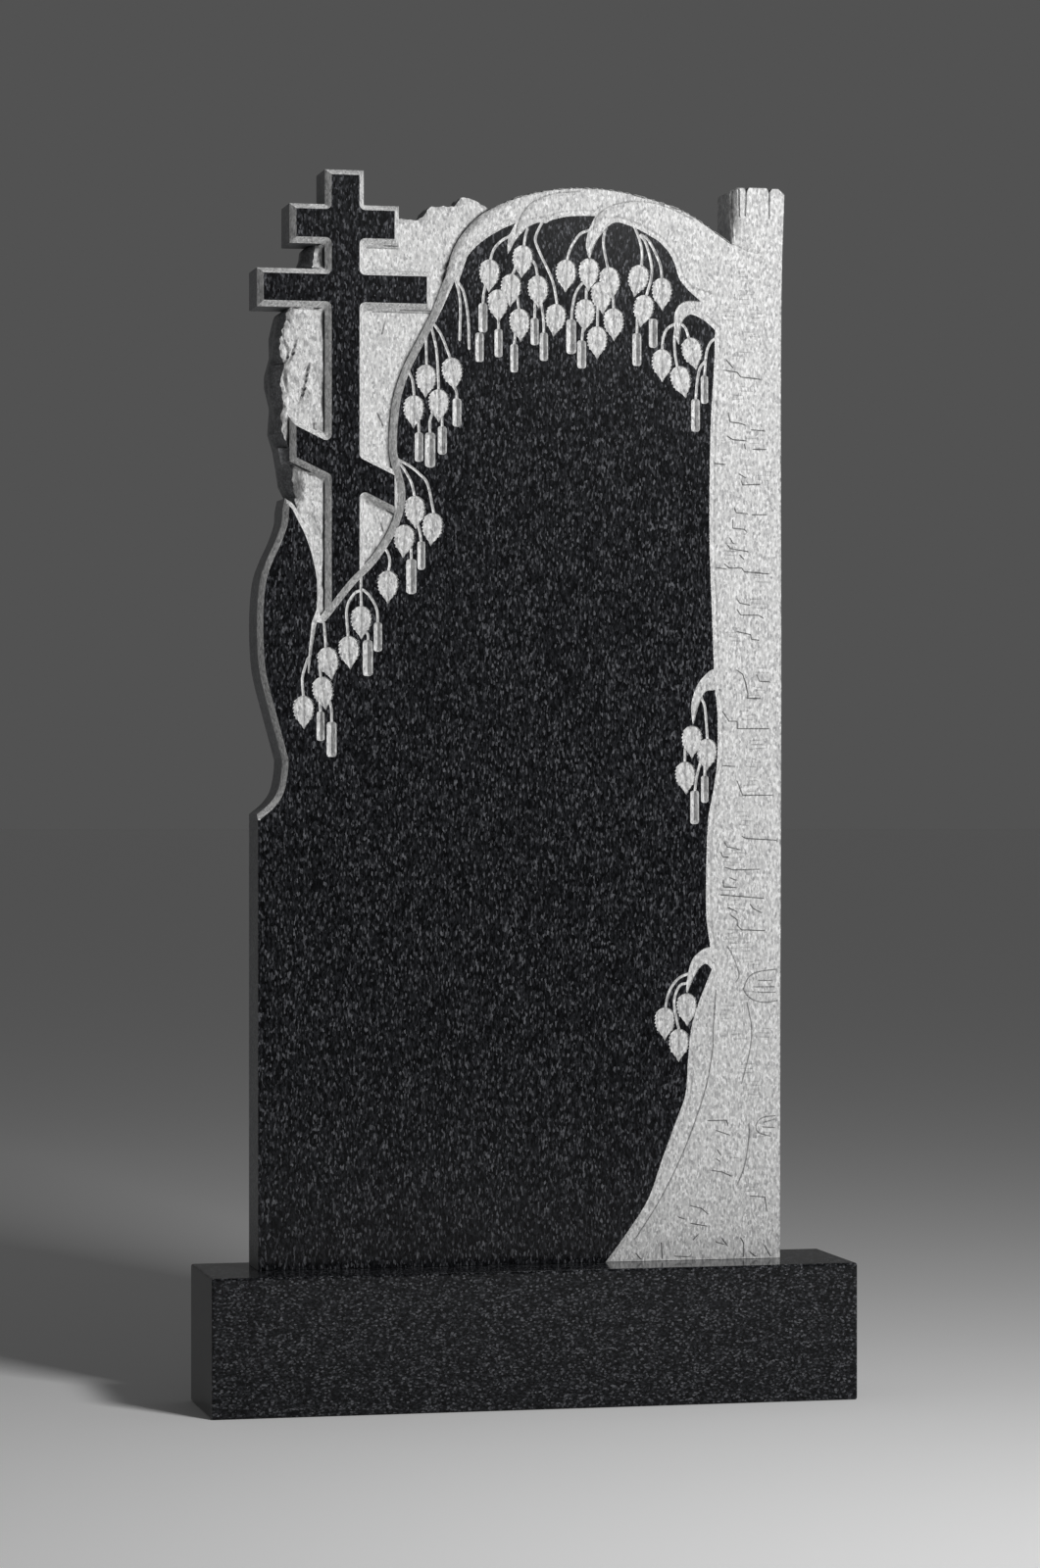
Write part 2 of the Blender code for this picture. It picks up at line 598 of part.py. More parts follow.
def make_branches(beds, branches, material):
    """Each drooping branch: a tapering bed cut in the face, and the rounded branch lying in it."""
    for name, line in BRANCHES.items():
        path = [drawn(u, v) for u, v, _ in line]
        halves = [half * MM for _, _, half in line]
        bed = as_cutter(rod(f"{name}_bed", path, halves, 0.0, 1, beds, material))
        squash(bed, path, halves, BRANCH_BED_DEPTH)
        between = [((a + c) / 2, (b + d) / 2) for (a, b), (c, d) in zip(path, path[1:])]
        slimmer = [(a + b) / 2 * BRANCH_SLIMNESS for a, b in zip(halves, halves[1:])]
        branch = as_cutter(rod(name, between, slimmer, 0.0, 1, branches, material))
        squash(branch, between, slimmer, BRANCH_RISE)
        for vertex in branch.data.vertices:
            vertex.co.z -= BRANCH_RISE + BRANCH_SUNK


def make_stele(group, cutters, polished, carved):
    """The whole carved slab."""
    stele = make_fields(group, polished)
    rock = make_rock(cutters["solids"], carved)
    combine(rock, "DIFFERENCE", make_chisel(cutters["solids"], carved), "EXACT")
    combine(stele, "UNION", rock, "EXACT")
    combine(stele, "UNION", make_cross(cutters["solids"], polished))
    combine(stele, "DIFFERENCE", make_back_trim(cutters["solids"], carved))
    make_tree_lines(cutters["tree_lines"], carved)
    make_branches(cutters["branch_beds"], cutters["branches"], carved)
    make_leaves(cutters["leaves"], carved)
    make_catkins(cutters["catkins"], carved)
    make_stalks(cutters["stalks"], carved)
    combine(stele, "DIFFERENCE", cutters["tree_lines"])
    combine(stele, "DIFFERENCE", cutters["branch_beds"])
    combine(stele, "DIFFERENCE", cutters["leaves"])
    combine(stele, "DIFFERENCE", cutters["catkins"])
    combine(stele, "DIFFERENCE", cutters["stalks"])
    combine(stele, "UNION", cutters["branches"])


def make_plinth(group, polished):
    """The polished block under the slab."""
    bpy.ops.mesh.primitive_cube_add(size=1.0)
    plinth = bpy.context.active_object
    plinth.name = "plinth"
    for vertex in plinth.data.vertices:
        vertex.co.x *= PLINTH_LENGTH
        vertex.co.y *= PLINTH_DEPTH
        vertex.co.z = (vertex.co.z + 0.5) * PLINTH_HEIGHT
    rounding = plinth.modifiers.new("rounded_edges", "BEVEL")
    rounding.width = PLINTH_ROUNDING
    rounding.segments = 3
    plinth.data.materials.append(polished)
    for owner in plinth.users_collection:
        owner.objects.unlink(plinth)
    group.objects.link(plinth)


def main():
    for leftover in list(bpy.data.objects):
        bpy.data.objects.remove(leftover)
    headstone = collection("headstone")
    names = ("solids", "tree_lines", "branch_beds", "branches", "leaves", "catkins", "stalks")
    cutters = {name: collection(f"cutters_{name}") for name in names}
    polished = stone("polished gabbro", (0.014, 0.015, 0.017), 0.12)
    carved = stone("carved gabbro", (0.52, 0.52, 0.52), 0.75)
    make_plinth(headstone, polished)
    make_stele(headstone, cutters, polished, carved)


main()
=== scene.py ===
"""Looks of the carved upright headstone: its whole relief as one closed mesh, its stone and its light.

The slab is drawn from the front, in millimetres: u runs right from its left edge, v runs up from its
foot, and depth runs back from the polished face.
"""

import math

import bmesh
import bpy
import numpy as np
from mathutils import Euler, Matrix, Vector, noise
from mathutils.geometry import delaunay_2d_cdt


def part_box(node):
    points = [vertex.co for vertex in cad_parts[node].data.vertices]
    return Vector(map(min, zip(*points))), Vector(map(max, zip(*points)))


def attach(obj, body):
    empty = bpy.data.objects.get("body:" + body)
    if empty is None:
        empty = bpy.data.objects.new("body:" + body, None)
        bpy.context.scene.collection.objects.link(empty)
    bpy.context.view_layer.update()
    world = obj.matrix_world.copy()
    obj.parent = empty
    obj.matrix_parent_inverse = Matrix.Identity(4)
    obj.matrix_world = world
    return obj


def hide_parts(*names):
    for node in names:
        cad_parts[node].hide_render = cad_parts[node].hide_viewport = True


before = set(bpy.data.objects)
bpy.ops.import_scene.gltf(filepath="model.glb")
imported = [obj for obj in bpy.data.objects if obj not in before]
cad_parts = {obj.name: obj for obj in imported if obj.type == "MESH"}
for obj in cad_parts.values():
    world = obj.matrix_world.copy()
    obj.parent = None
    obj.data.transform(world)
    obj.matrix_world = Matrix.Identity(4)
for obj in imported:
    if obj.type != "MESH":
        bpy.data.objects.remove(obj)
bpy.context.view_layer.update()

MM = 0.001
SLAB_LOW, SLAB_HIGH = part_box("stele")
SLAB_THICKNESS = (SLAB_HIGH.y - SLAB_LOW.y) / MM

# Chamfers and roundings; JUST_PAST is how far beyond a chamfer its far side is tried
FIELD_CHAMFER = 5.5
STRAND_CHAMFER = 7.0
CHAMFER_DEPTH = 8.2
# The next number is the shade painted at the outer foot of chamfers that face left, away from the key light
CHAMFER_PAINTED_SHADE = 0.3
CROSS_CHAMFER = 6.0
JUST_PAST = 0.3
STUMP_LEFT = 519.0
STUMP_FOOT = 1097.0
STUMP_ROUNDING = (14.0, 26.0)
STUMP_FADE = 16.0
BOUGH_REACH = 16.0
BOUGH_ROUNDING = [(0, 7), (40, 13), (110, 12), (200, 6), (360, 5)]
WALL_LEAN = 0.35

# Cross; each bar, from the top down, is the height of its middle, its width, its thickness and its slope
CROSS_AXIS = 94.0
CROSS_TOP = 1167.0
STEM_WIDTH = 42.0
STEM_FOOT = 690.0
UPPER_BAR = (1109.0, 118.0, 42.0, 0.0)
MAIN_BAR = (1040.5, 188.0, 41.0, 0.0)
FOOT_BAR = (851.5, 118.0, 46.6, -0.48)

# Hewn ground behind the cross: it falls away left of the stem, most above HIGH_GROUND
GROUND_DEPTH = 10.4
GROUND_FALL = 2.6
GROUND_TURN = 30.0
HIGH_GROUND = 1050.0
HIGH_GROUND_TURN = 20.0
GROUND_FILLET = 2.0
FILLET_SHARE = 0.6
# Shadow painted on the rock at the feet of walls that face left or down: its width, its darkest core, and for
# each side the way it looks for the wall and how dark it is painted
WALL_FOOT_SHADE_WIDTH = 2.4
WALL_FOOT_SHADE_CORE = 1.2
WALL_FOOT_SHADES = [((1.0, 0.0), 0.95), ((0.0, 1.0), 0.6)]
FACET_LENGTH = 26.0
FACET_DEPTH = 6.0
CHISEL_MARK_WIDTH = 3.0
CHISEL_MARK_LENGTH = 11.0
CHISEL_MARK_DEPTH = 0.75
LOW_CORNER_FALL = 9.0
LOW_CORNER_HEIGHTS = [812.0, 820.0, 840.0, 850.0]
LOW_CORNER_RIGHT = 51.0
LOW_CORNER_TURN = 10.0
RAGGED_EDGE = 7.0
RAGGED_GRAIN = 5.0

# The rock is narrow between the cross's upper bars, and its edge is chipped less there
NARROW_HEIGHTS = [1035.0, 1050.0, 1100.0, 1112.0]
NARROW_CHIPPING = [1.0, 0.25, 0.25, 1.0]

# Sides of the rock, and the stretch that passes behind the left end of the foot bar
SIDE_BULGE = 26.0
SIDE_SWELL = 3.5
CROWN_DENT = 3.0
BAR_END_RIGHT = 45.0
BAR_END_HEIGHTS = (840.0, 912.0)
BAR_END_ROWS = 2.0

# Carving in the polished face
BORDER_WIDTH = 4.6
BORDER_DEPTH = 2.6
BORDER_LIP = 0.15
BORDER_REACH = 14.0
BARK_DEPTH = 1.0
LEAST_CARVED = 0.06
BARK_ROUGHNESS = 0.22
LEAF_LENGTH = 35.5
LEAF_HALF_WIDTH = 11.0
LEAF_SHAPE = [(0.0, 0.16), (0.04, 0.56), (0.1, 0.8), (0.22, 0.96), (0.38, 1.0), (0.53, 0.95), (0.65, 0.82),
              (0.74, 0.6), (0.8, 0.36), (0.88, 0.19), (1.0, 0.04)]
LEAF_TEETH = 7
LEAF_TOOTH = 0.8
TEETH_START = 0.08
TEETH_SPAN = 0.74
TOOTH_LENGTH = 0.08
LEAF_EDGE_DEPTH = 2.2
LEAF_SWELL = 1.3
VEIN_SPACING = 4.6
VEIN_DEPTH = 0.16
VEIN_RISE = 0.9
MIDRIB_PAINTED_SHADE = 0.3
CATKIN_DEPTH = 3.6
CATKIN_PAINTED_SHADE = 0.6
CATKIN_KEEL = 0.1
CATKIN_RIM = 0.72
CATKIN_SHADE = 0.2
CATKIN_END = 1.6
STALK_WIDTH = 2.9
STALK_DEPTH = 1.1
STALK_LAP = 2.0
DROOP_DEPTH = 3.2
DROOP_SWELL = 2.5
DROOP_START = 14.0

# How fine the mesh is, and from where on a triangle counts as a wall, as steep or as cut
SEED = 11
LINE_STEP = 3.0
CROSS_STEP = 12.0
CORNER_STEP = 6.0
CORNER_POINTS = 5
MIDRIB_STEP = 2.0
LEAF_STEP = 1.5
CARVED_STEP = 2.1
POLISHED_STEP = 40.0
SIDE_ROWS = 12
SHARP_ANGLE = 32.0
WALL_SLOPE = 0.3
STEEP_FALL = 0.3
LEAST_CUT = 0.02

# Finishes, in the order of the mesh's materials
FACE, CARVED, SIDE, BACK = range(4)

# Grains of the stone, width and height; real ones of about 1 mm are too fine to show, so they are coarser
FACE_GRAIN = (1.7, 4.2)
PLINTH_GRAIN = (2.4, 1.6)
RUBBED_GRAIN = (2.0, 2.0)
CARVED_GRAIN = (1.7, 3.6)
PITS = (1.2, 1.8)
SAW_MARKS = (60.0, 1.6)
GABBRO_IOR = 1.55

# Tones of the stone's grains, darkest first
FLECKS = [(0.28, "#050506"), (0.45, "#121315"), (0.6, "#292a2d"), (0.76, "#6c6d71")]
RUBBED_FLECKS = [(0.28, "#606163"), (0.45, "#707173"), (0.6, "#7f8082"), (0.78, "#9c9d9f")]
BRUISED_GRAINS = [(0.3, "#a2a2a3"), (0.42, "#c8c8c8"), (0.55, "#dfdfde"), (0.68, "#ffffff")]
SAWN_GREYS = [(0.3, "#7a7b7d"), (0.7, "#929395")]
# Dark grey that the shade painted on the carved stone mixes towards
PAINTED_SHADE_GREY = "#2a2b2d"

# Room, light and camera, in metres
ROOM_GREY = "#525252"
FLOOR_WHITE = "#fbfbfb"
FLOOR_RADIUS = 60.0
KEY_PLACE = (0.82, -1.95, 1.97)
KEY_SIZE = 0.5
KEY_WATTS = 42.0
BACK_PLACE = (-1.2, 3.2, 1.6)
BACK_SIZE = 1.2
BACK_WATTS = 0.3
LIGHT_AIM = (0.0, 0.0, 0.7)
CAMERA_PLACE = (-1.0348, -4.570, 0.6615)
CAMERA_TURN = 12.70
CAMERA_LENS = 100.2

# Outline of the polished fields and the tree: left edge, small field, strand, bough, stump, right edge
LEFT_EDGE = [(0, 482), (14, 494), (23, 509), (27, 535), (24.5, 549), (13.7, 589), (3.6, 629), (0.4, 662),
             (0.4, 700), (3.6, 731), (10.8, 752), (20, 772), (26.5, 791), (27.5, 804), (30, 817)]
SMALL_FIELD_EDGE = [(30, 817), (39, 811), (46, 799), (56, 779), (63, 758), (68, 735), (69, 714), (67.5, 692)]
STRAND_EDGE = [(67.5, 692), (75, 701), (98, 730), (118, 750), (133, 770), (144, 790), (151, 812),
               (151, 830), (146, 850), (142.5, 870), (143.5, 900), (148, 930), (158.5, 960), (174, 990),
               (189.5, 1020), (201, 1050)]
BOUGH_EDGE = [(201, 1050), (209, 1078), (220, 1100), (240, 1122), (262, 1135), (290, 1146), (325, 1153),
              (365, 1155), (402, 1151), (440, 1142), (470, 1131), (500, 1112), (519, 1099)]
STUMP_TOP = [(519, 1157), (525, 1160), (533, 1160), (535.5, 1155), (538, 1160.5), (558, 1160.5),
             (561, 1155), (564, 1160), (571, 1160), (578, 1154)]
TRUNK_RIGHT_EDGE = [(578, 1154), (575, 1060), (574, 900), (574.5, 600), (573.5, 300), (573, 0)]

# The rock: its ragged left and top edge, then a line hidden under the fields; then its back edge
ROCK_EDGE = [(42, 800), (43.5, 812), (41, 832), (41, 850), (37, 866), (29, 886), (27, 905), (29.5, 920),
             (26.5, 942), (30.5, 958), (26.5, 972), (26.5, 988), (32, 1005), (35, 1020), (45, 1036),
             (59, 1060), (64, 1078), (64, 1110)]
ROCK_TOP = [(140, 1117), (157, 1117), (169, 1116), (176, 1117), (180, 1120), (186, 1128), (190, 1131),
            (211, 1132), (216, 1134), (222, 1141), (227, 1142), (235, 1140), (250, 1133)]
ROCK_UNDER = [(256, 1124), (235, 1100), (215, 1050), (200, 1010), (163, 930), (162, 850), (166, 810),
              (140, 760), (90, 700), (64, 672), (56, 720), (48, 760)]
ROCK_BACK_EDGE = [(46, 802), (42.5, 810), (36, 822), (31, 832), (28.5, 850), (25, 870), (19.5, 888),
                  (20.5, 900), (21.5, 915), (16, 938), (16, 950), (21.5, 970), (21, 990), (24, 1004),
                  (28, 1018), (38, 1040), (50, 1066), (53.5, 1075), (56, 1110)]

# Edge between the polished face and the tree, from the root upwards; each list is one soft stretch
TREE_EDGE = [
    [(378, 0), (401.7, 31), (425.8, 68), (441, 110), (456.3, 150), (467, 180), (469.5, 213), (473.3, 250),
     (482.5, 280), (496.3, 314)],
    [(496.3, 314), (489.2, 320.3), (480, 312.5), (471.7, 295.8), (469, 289)],
    [(467.5, 290), (469.7, 308.3), (475, 325), (486.7, 335.8), (494.6, 338)],
    [(494.6, 338), (490.3, 370), (490, 420), (492.2, 475), (498.3, 509.5), (502.5, 544), (502.5, 590),
     (500, 616)],
    [(500, 616), (489.3, 614.3), (482.9, 602.9), (477.9, 587), (475.7, 579.3)],
    [(474.7, 579.3), (473.6, 600), (480, 620.7), (491.4, 634.3), (498.6, 638.6)],
    [(498.6, 638.6), (496.4, 700), (493.5, 790), (495, 900), (498.5, 960), (500, 1005)],
    [(500, 1005), (487, 1016), (472, 1021.5), (463, 1013), (461, 1000), (459.6, 989)],
    [(458.6, 989), (454.5, 1005), (456, 1025), (466, 1035), (484, 1036)],
    [(484, 1036), (470, 1048), (460, 1060), (453, 1080), (440, 1097), (420, 1109), (400, 1117),
     (388, 1118.5), (379.5, 1113)],
    [(379.5, 1113), (368, 1098), (362, 1083), (360.6, 1079)],
    [(359, 1080), (356.5, 1093), (359, 1108), (367, 1125)],
    [(367, 1125), (340, 1124), (318, 1119), (313, 1116), (303, 1116), (292, 1111)],
    [(292, 1111), (280, 1098), (272.5, 1085)],
    [(270, 1082), (271, 1098), (279, 1115)],
    [(279, 1115), (260, 1106), (237, 1090), (221, 1070), (211.5, 1050), (204.5, 1034), (197.5, 1019),
     (191, 1006)],
]
STRAND_END = [(184.5, 1008), (196, 1034)]

# The sunk border fades out down the strand, left of EDGE_FADE_RIGHT and between these heights
EDGE_FADE = (1035.0, 1075.0)
EDGE_FADE_RIGHT = 260

# Drooping branches: middle line from root to tip, with the half width at each point
DROOPS = [
    [(294, 1124, 8.5), (287, 1117, 7.5), (280, 1106, 6.6), (275.5, 1098, 5.2), (273, 1090, 3.4),
     (271, 1082, 1.4)],
    [(384, 1128, 9), (376, 1123, 8), (367, 1112, 7), (362.5, 1101, 5.8), (360.3, 1091, 4), (360, 1080, 1.5)],
    [(500, 1022, 16), (486, 1027, 12), (474, 1029, 8.6), (464, 1025, 7), (458.5, 1017, 5), (457.8, 1003, 3.4),
     (459, 989, 1.4)],
    [(503, 628, 13), (492, 625, 9.4), (484, 616, 7), (479, 606, 5), (476, 592, 3), (475.2, 579, 1.2)],
    [(500, 326, 12), (489, 328, 9), (481, 323, 6.8), (476.5, 315, 5.4), (472, 303, 3.6), (468.3, 289, 1.4)],
]

# Where one limb of the bough lies over the next; the limb in front is on the right of each line
LIMB_STEPS = [
    [(279, 1100), (282, 1115), (289, 1129), (301, 1140), (322, 1148), (350, 1151)],
    [(364, 1108), (368, 1123), (379, 1134), (400, 1141), (425, 1142), (450, 1136), (474, 1125)],
    [(560, 1088), (540, 1091), (519, 1099)],
]
STEP_DEPTH = 3.2
STEP_REACH = 11.0
STEP_LIP = 2.6
LIP_WIDTH = 5.0
STEP_FADE = 8.0

# Leaves: how far the tip leans to the right, then the stalk from the branch down to the blade's top
LEAVES = [
    (0.5, [(53.3, 647), (48, 630), (47.5, 620), (48.7, 607.5)]),
    (7.2, [(70.8, 684), (72, 670), (72.5, 659)]),
    (5.5, [(66.3, 636), (67.5, 627.5)]),
    (2.5, [(110.7, 720), (103, 716), (95.2, 700), (96.7, 671)]),
    (0.0, [(110.7, 740), (110.5, 722), (111, 703)]),
    (-0.3, [(135.7, 766), (140, 759), (141.7, 750), (140, 741)]),
    (-2.6, [(158.6, 790)]),
    (1.4, [(151.4, 857), (159.3, 846), (165.7, 833), (168.6, 821)]),
    (-3.7, [(151.4, 859), (163, 853), (174.3, 844), (183, 833), (189.7, 803)]),
    (-0.9, [(163, 952), (166.4, 943), (168.3, 928)]),
    (-1.4, [(181, 990), (181.7, 961)]),
    (4.6, [(190, 1004), (197, 994), (203, 980), (207.9, 969)]),
    (0.0, [(187, 1000), (190, 989), (193, 971), (195, 935)]),
    (-1.4, [(271.4, 1100), (264.3, 1096), (257, 1089), (253, 1081), (251, 1075)]),
    (-2.9, [(292, 1109), (289.3, 1100), (287.9, 1091)]),
    (-1.7, [(278.6, 1067), (274.6, 1060)]),
    (1.1, [(259.3, 1043)]),
    (2.1, [(280.7, 1036), (282.6, 1023)]),
    (1.6, [(296.4, 1076), (300.7, 1070), (303, 1059)]),
    (-4.2, [(309.3, 1119), (300.7, 1100), (304.3, 1086), (319.3, 1054), (324.6, 1029)]),
    (-1.4, [(358.6, 1109), (350, 1105), (343, 1096), (338, 1086), (335, 1077)]),
    (-1.3, [(360.3, 1079)]),
    (5.3, [(378.6, 1113), (376, 1103), (376, 1091), (380.7, 1070)]),
    (3.3, [(372, 1054)]),
    (-2.1, [(356.7, 1047), (356.4, 1035)]),
    (-0.3, [(369.3, 1029), (368.9, 1006)]),
    (0.4, [(386.4, 1039), (387, 1026)]),
    (-8.6, [(410.7, 1113), (415.7, 1100), (418.3, 1087), (417.9, 1073)]),
    (0.3, [(416.4, 1106), (425.7, 1100), (438, 1076), (440.7, 1060)]),
    (-6.5, [(416.4, 1105), (423, 1096), (429.3, 1067), (422.9, 1041)]),
    (8.3, [(462, 1011), (467, 1006), (471, 996)]),
    (0.3, [(455.7, 1011), (447, 1006), (442, 996), (440.7, 983)]),
    (10.0, [(456.4, 1009), (454.6, 996), (455, 980), (457.9, 965)]),
    (-0.3, [(474.3, 577)]),
    (-1.4, [(485, 606), (488.6, 596), (491.4, 563)]),
    (1.6, [(466.2, 552), (466.2, 538)]),
    (-0.3, [(469.2, 309), (460, 305), (452.5, 297), (447.5, 287), (444, 273)]),
    (0.8, [(468, 288)]),
    (-0.5, [(468.3, 299), (460, 296), (454.2, 278), (459.7, 249.5)]),
]

# Catkins: length and width, then the stalk from the branch down to the catkin's top
CATKINS = [
    (31, 8.3, [(66.2, 600), (67, 591)]),
    (37, 10.5, [(76.7, 602), (78.7, 593), (78.9, 580)]),
    (38, 10.8, [(115.8, 677), (118.3, 672), (117.9, 667)]),
    (31, 8.8, [(113.6, 720), (120.7, 713), (127.5, 700), (128.9, 686)]),
    (37, 10.9, [(164.6, 765), (165, 753.6)]),
    (30, 8.3, [(172, 791), (174.6, 781), (175.9, 772.6)]),
    (31, 9.0, [(172.9, 899), (173.4, 888.6)]),
    (37, 11.0, [(188, 909), (185, 900), (185.5, 888.6)]),
    (30, 9.5, [(198.3, 906), (198.7, 895.7)]),
    (30, 9.5, [(211.4, 939), (214, 933), (214.7, 925.7)]),
    (31, 9.5, [(245.7, 1047), (243.6, 1036), (243.1, 1028)]),
    (31, 9.0, [(239.3, 996.4)]),
    (30, 8.5, [(260, 1014), (260.1, 1000.7)]),
    (30, 8.3, [(278.6, 1000), (277.2, 985)]),
    (29, 8.6, [(300, 1029), (299.7, 1013.6)]),
    (30, 8.9, [(307, 1030), (309.3, 1013), (309.9, 998)]),
    (37, 10.7, [(352, 1052), (345.7, 1043), (342, 1030), (340, 1013)]),
    (30, 9.7, [(353, 1003), (351.6, 990.7)]),
    (35, 9.7, [(413, 1014), (412.7, 999.7)]),
    (31, 9.3, [(430.8, 1015.7)]),
    (35, 9.5, [(488.6, 971), (483, 964), (480, 950), (478, 930)]),
    (30, 8.0, [(500, 996), (494.3, 991), (490, 979), (488, 955.5)]),
    (29, 8.2, [(488.4, 533), (488.3, 523)]),
    (36, 9.5, [(483.3, 537), (479.5, 523), (477, 507)]),
]

# Stalks that carry nothing, and the hanging end of the strand
BARE_STALKS = [
    [(213.6, 1050), (216.7, 1039), (218.4, 1022), (217.6, 990)],
    [(215.7, 1050), (222, 1039), (226.7, 1013), (228, 981)],
]
STRAND_TIP = [(64, 694), (60, 684), (58, 670), (56, 655), (54, 632)]
STRAND_TIP_WIDTH = 6.0
STRAND_TIP_END = 0.8
STRAND_TIP_LENGTH = 62.0
STRAND_TIP_DEPTH = 2.4

# Lines cut into the stone; each kind has a width, a depth and how much shade is painted in it
BORDER_CUT = (BORDER_WIDTH * 0.5, 0.4, 0.13)
LIMB_CUT = (2.2, 0.8, 0.35)

# Fine breaks in the birch bark, each stepping down or up as it goes right
BARK_BREAKS = [
    [(513, 973), (520, 965)], [(510, 962), (525, 960), (529, 955), (550, 953)],
    [(515, 915), (517, 906), (527, 905), (534, 903)], [(541, 898), (556, 897)],
    [(515, 890), (520, 887), (535, 886)], [(533, 882), (534, 878)], [(543, 877), (557, 877)],
    [(500, 861), (511, 860)], [(527, 850), (534, 846)], [(530, 842), (531, 838), (550, 839)],
    [(522, 812), (524, 808), (536, 807)], [(542, 806), (557, 806)],
    [(520, 800), (520, 791), (533, 790), (535, 788)], [(517, 780), (520, 775)],
    [(515, 772), (517, 769), (537, 766)], [(528, 762), (532, 758)], [(502, 748), (512, 747)],
    [(511, 752), (516, 748), (530, 748), (533, 744), (560, 742)], [(525, 714), (528, 710), (539, 708)],
    [(525, 703), (529, 697), (549, 697), (554, 694)], [(525, 679), (540, 676), (541, 671), (549, 670)],
    [(525, 637), (531, 633), (534, 625), (537, 612), (536, 607), (549, 607)],
    [(509, 592), (516, 582), (525, 582), (525, 574), (560, 574)], [(511, 424), (520, 421), (550, 421.5)],
    [(507, 394), (555, 390)], [(519, 371), (525, 367), (525, 361), (530, 356), (555, 355)],
    [(493, 150), (513, 150), (514, 146)], [(502, 139), (516, 134)], [(497, 96), (508, 94), (518, 89.5)],
    [(540, 67.5), (556, 66), (558, 52)], [(474, 58), (485, 55), (492, 49)], [(474, 39), (490, 36)],
    [(502, 18), (509, 16)], [(529, 22), (532, 17), (532, 2)], [(556, 13), (562, 2)],
    [(440, 19), (441, 2)], [(412, 8), (417, 2)], [(455, 4), (470, 3)], [(476, 22), (480, 26)],
    [(460, 46), (466, 44)], [(503, 118), (506, 113)], [(502, 108), (505, 106)], [(508, 22), (514, 14)],
    [(540, 6), (545, 2)],
    [(525, 517), (531, 502), (564, 502)], [(531, 457), (535, 455), (553, 454), (569, 453)],
    [(511, 450), (514, 446), (528, 443)], [(506.5, 440), (509, 435), (515, 435)], [(517, 412.5), (523, 410)],
    [(509, 408), (510, 402.5), (523, 402)], [(515, 380), (524, 376)], [(540, 383), (543, 379), (551, 375)],
    [(509, 534), (521, 533)], [(547, 632), (550, 625.5), (561, 625)],
]
BREAK_CUT = (1.7, 1.2, 0.85)

# Long creases of the root, collars of healed branches, two knots, and the splits in the sawn-off top
CREASES = [
    [(501, 290), (498, 250), (497, 225), (488, 180), (466, 120), (440, 68), (412, 25)],
    [(536, 277), (541, 250), (539, 225), (530, 190)], [(538, 145), (538, 130), (533, 100), (525, 80)],
    [(514, 338), (520, 328), (527, 308), (524, 300)],
    [(532, 292), (536, 302), (542, 308), (552, 311), (569, 313)],
    [(532, 292), (535, 286), (543, 280), (556, 277), (570, 279)], [(549, 301), (563, 301)],
    [(545, 294), (566, 294)], [(550, 288), (567, 288)],
    [(568, 154), (553, 152), (546, 144), (549, 136), (562, 132)], [(555, 147), (566, 150)],
    [(554, 142), (566, 141)],
]
CREASE_CUT = (1.9, 0.9, 0.72)
SPLITS = [
    [(522, 1157), (522, 1126)], [(527, 1158), (527.5, 1130)], [(535.2, 1155), (534, 1130)],
    [(561, 1155), (561, 1128)],
]
SPLIT_CUT = (2.2, 1.6, 0.7)

# Chips and cracks in the rock
CRACKS = [
    [(62, 897), (62, 888)], [(138, 1006), (135, 994)], [(130, 909), (136, 896)], [(134, 791), (136, 784)],
    [(28.6, 989), (29, 996)],
]
CRACK_CUT = (2.6, 1.8, 0.5)

# Where broken faces of the rock step down towards its ragged edge, each line drawn upwards
ROCK_STEPS = [
    [(33.6, 960), (38, 966), (43, 985)], [(34, 930), (31, 953)], [(27, 956), (33, 964), (35, 974), (29, 987)],
    [(46, 918), (51, 931), (57, 961)], [(44, 818), (40, 830), (38, 854)], [(38, 1004), (34, 1010)],
]
ROCK_STEP_DROP = 5.5
ROCK_STEP_REACH = 5.0
ROCK_STEP_CUT = (CRACK_CUT[0] * 1.3, 0.9, 0.4)

# Level chisel cuts close under the right arms of the two upper bars; shade is painted in them, as under the
# arms
CHISELLED_SEAMS = [[(118, 1085), (150, 1085)], [(125, 1017), (186, 1017)]]
CHISELLED_CUT = (1.9, 0.9, 0.6)

# Faint level marks of the bark, in small groups
MARK_GROUPS = 44
MARKS_IN_GROUP = (2, 5)
MARKS_ACROSS = (506.0, 552.0)
MARKS_UP = (60.0, 1075.0)
MARK_SPACING = 4.6
MARK_LENGTH = (7.0, 14.0)
MARK_SHIFT = 4.0
MARK_TILT = 1.0
MARK_CUT = (1.5, 0.35, 0.4)


def curve(points, step):
    """Points about a step apart on a soft line through drawn points."""
    line = np.array(points, float)
    line = np.vstack([2 * line[0] - line[1], line, 2 * line[-1] - line[-2]])
    result = [line[1]]
    for before, start, end, after in zip(line, line[1:], line[2:], line[3:]):
        count = max(1, round(float(np.linalg.norm((end - start)[:2])) / step))
        for t in np.arange(1, count + 1) / count:
            from_start = start * (2 * t**3 - 3 * t**2 + 1) + (end - before) / 2 * (t**3 - 2 * t**2 + t)
            from_end = end * (3 * t**2 - 2 * t**3) + (after - start) / 2 * (t**3 - t**2)
            result.append(from_start + from_end)
    return np.array(result)


def straight(points, step):
    """Points about a step apart on the straight lines between drawn points."""
    result = [np.array(points[0], float)]
    for start, end in zip(points, points[1:]):
        start = np.array(start, float)
        end = np.array(end, float)
        count = max(1, round(float(np.linalg.norm(end - start)) / step))
        result.extend(start + (end - start) * t for t in np.arange(1, count + 1) / count)
    return np.array(result)


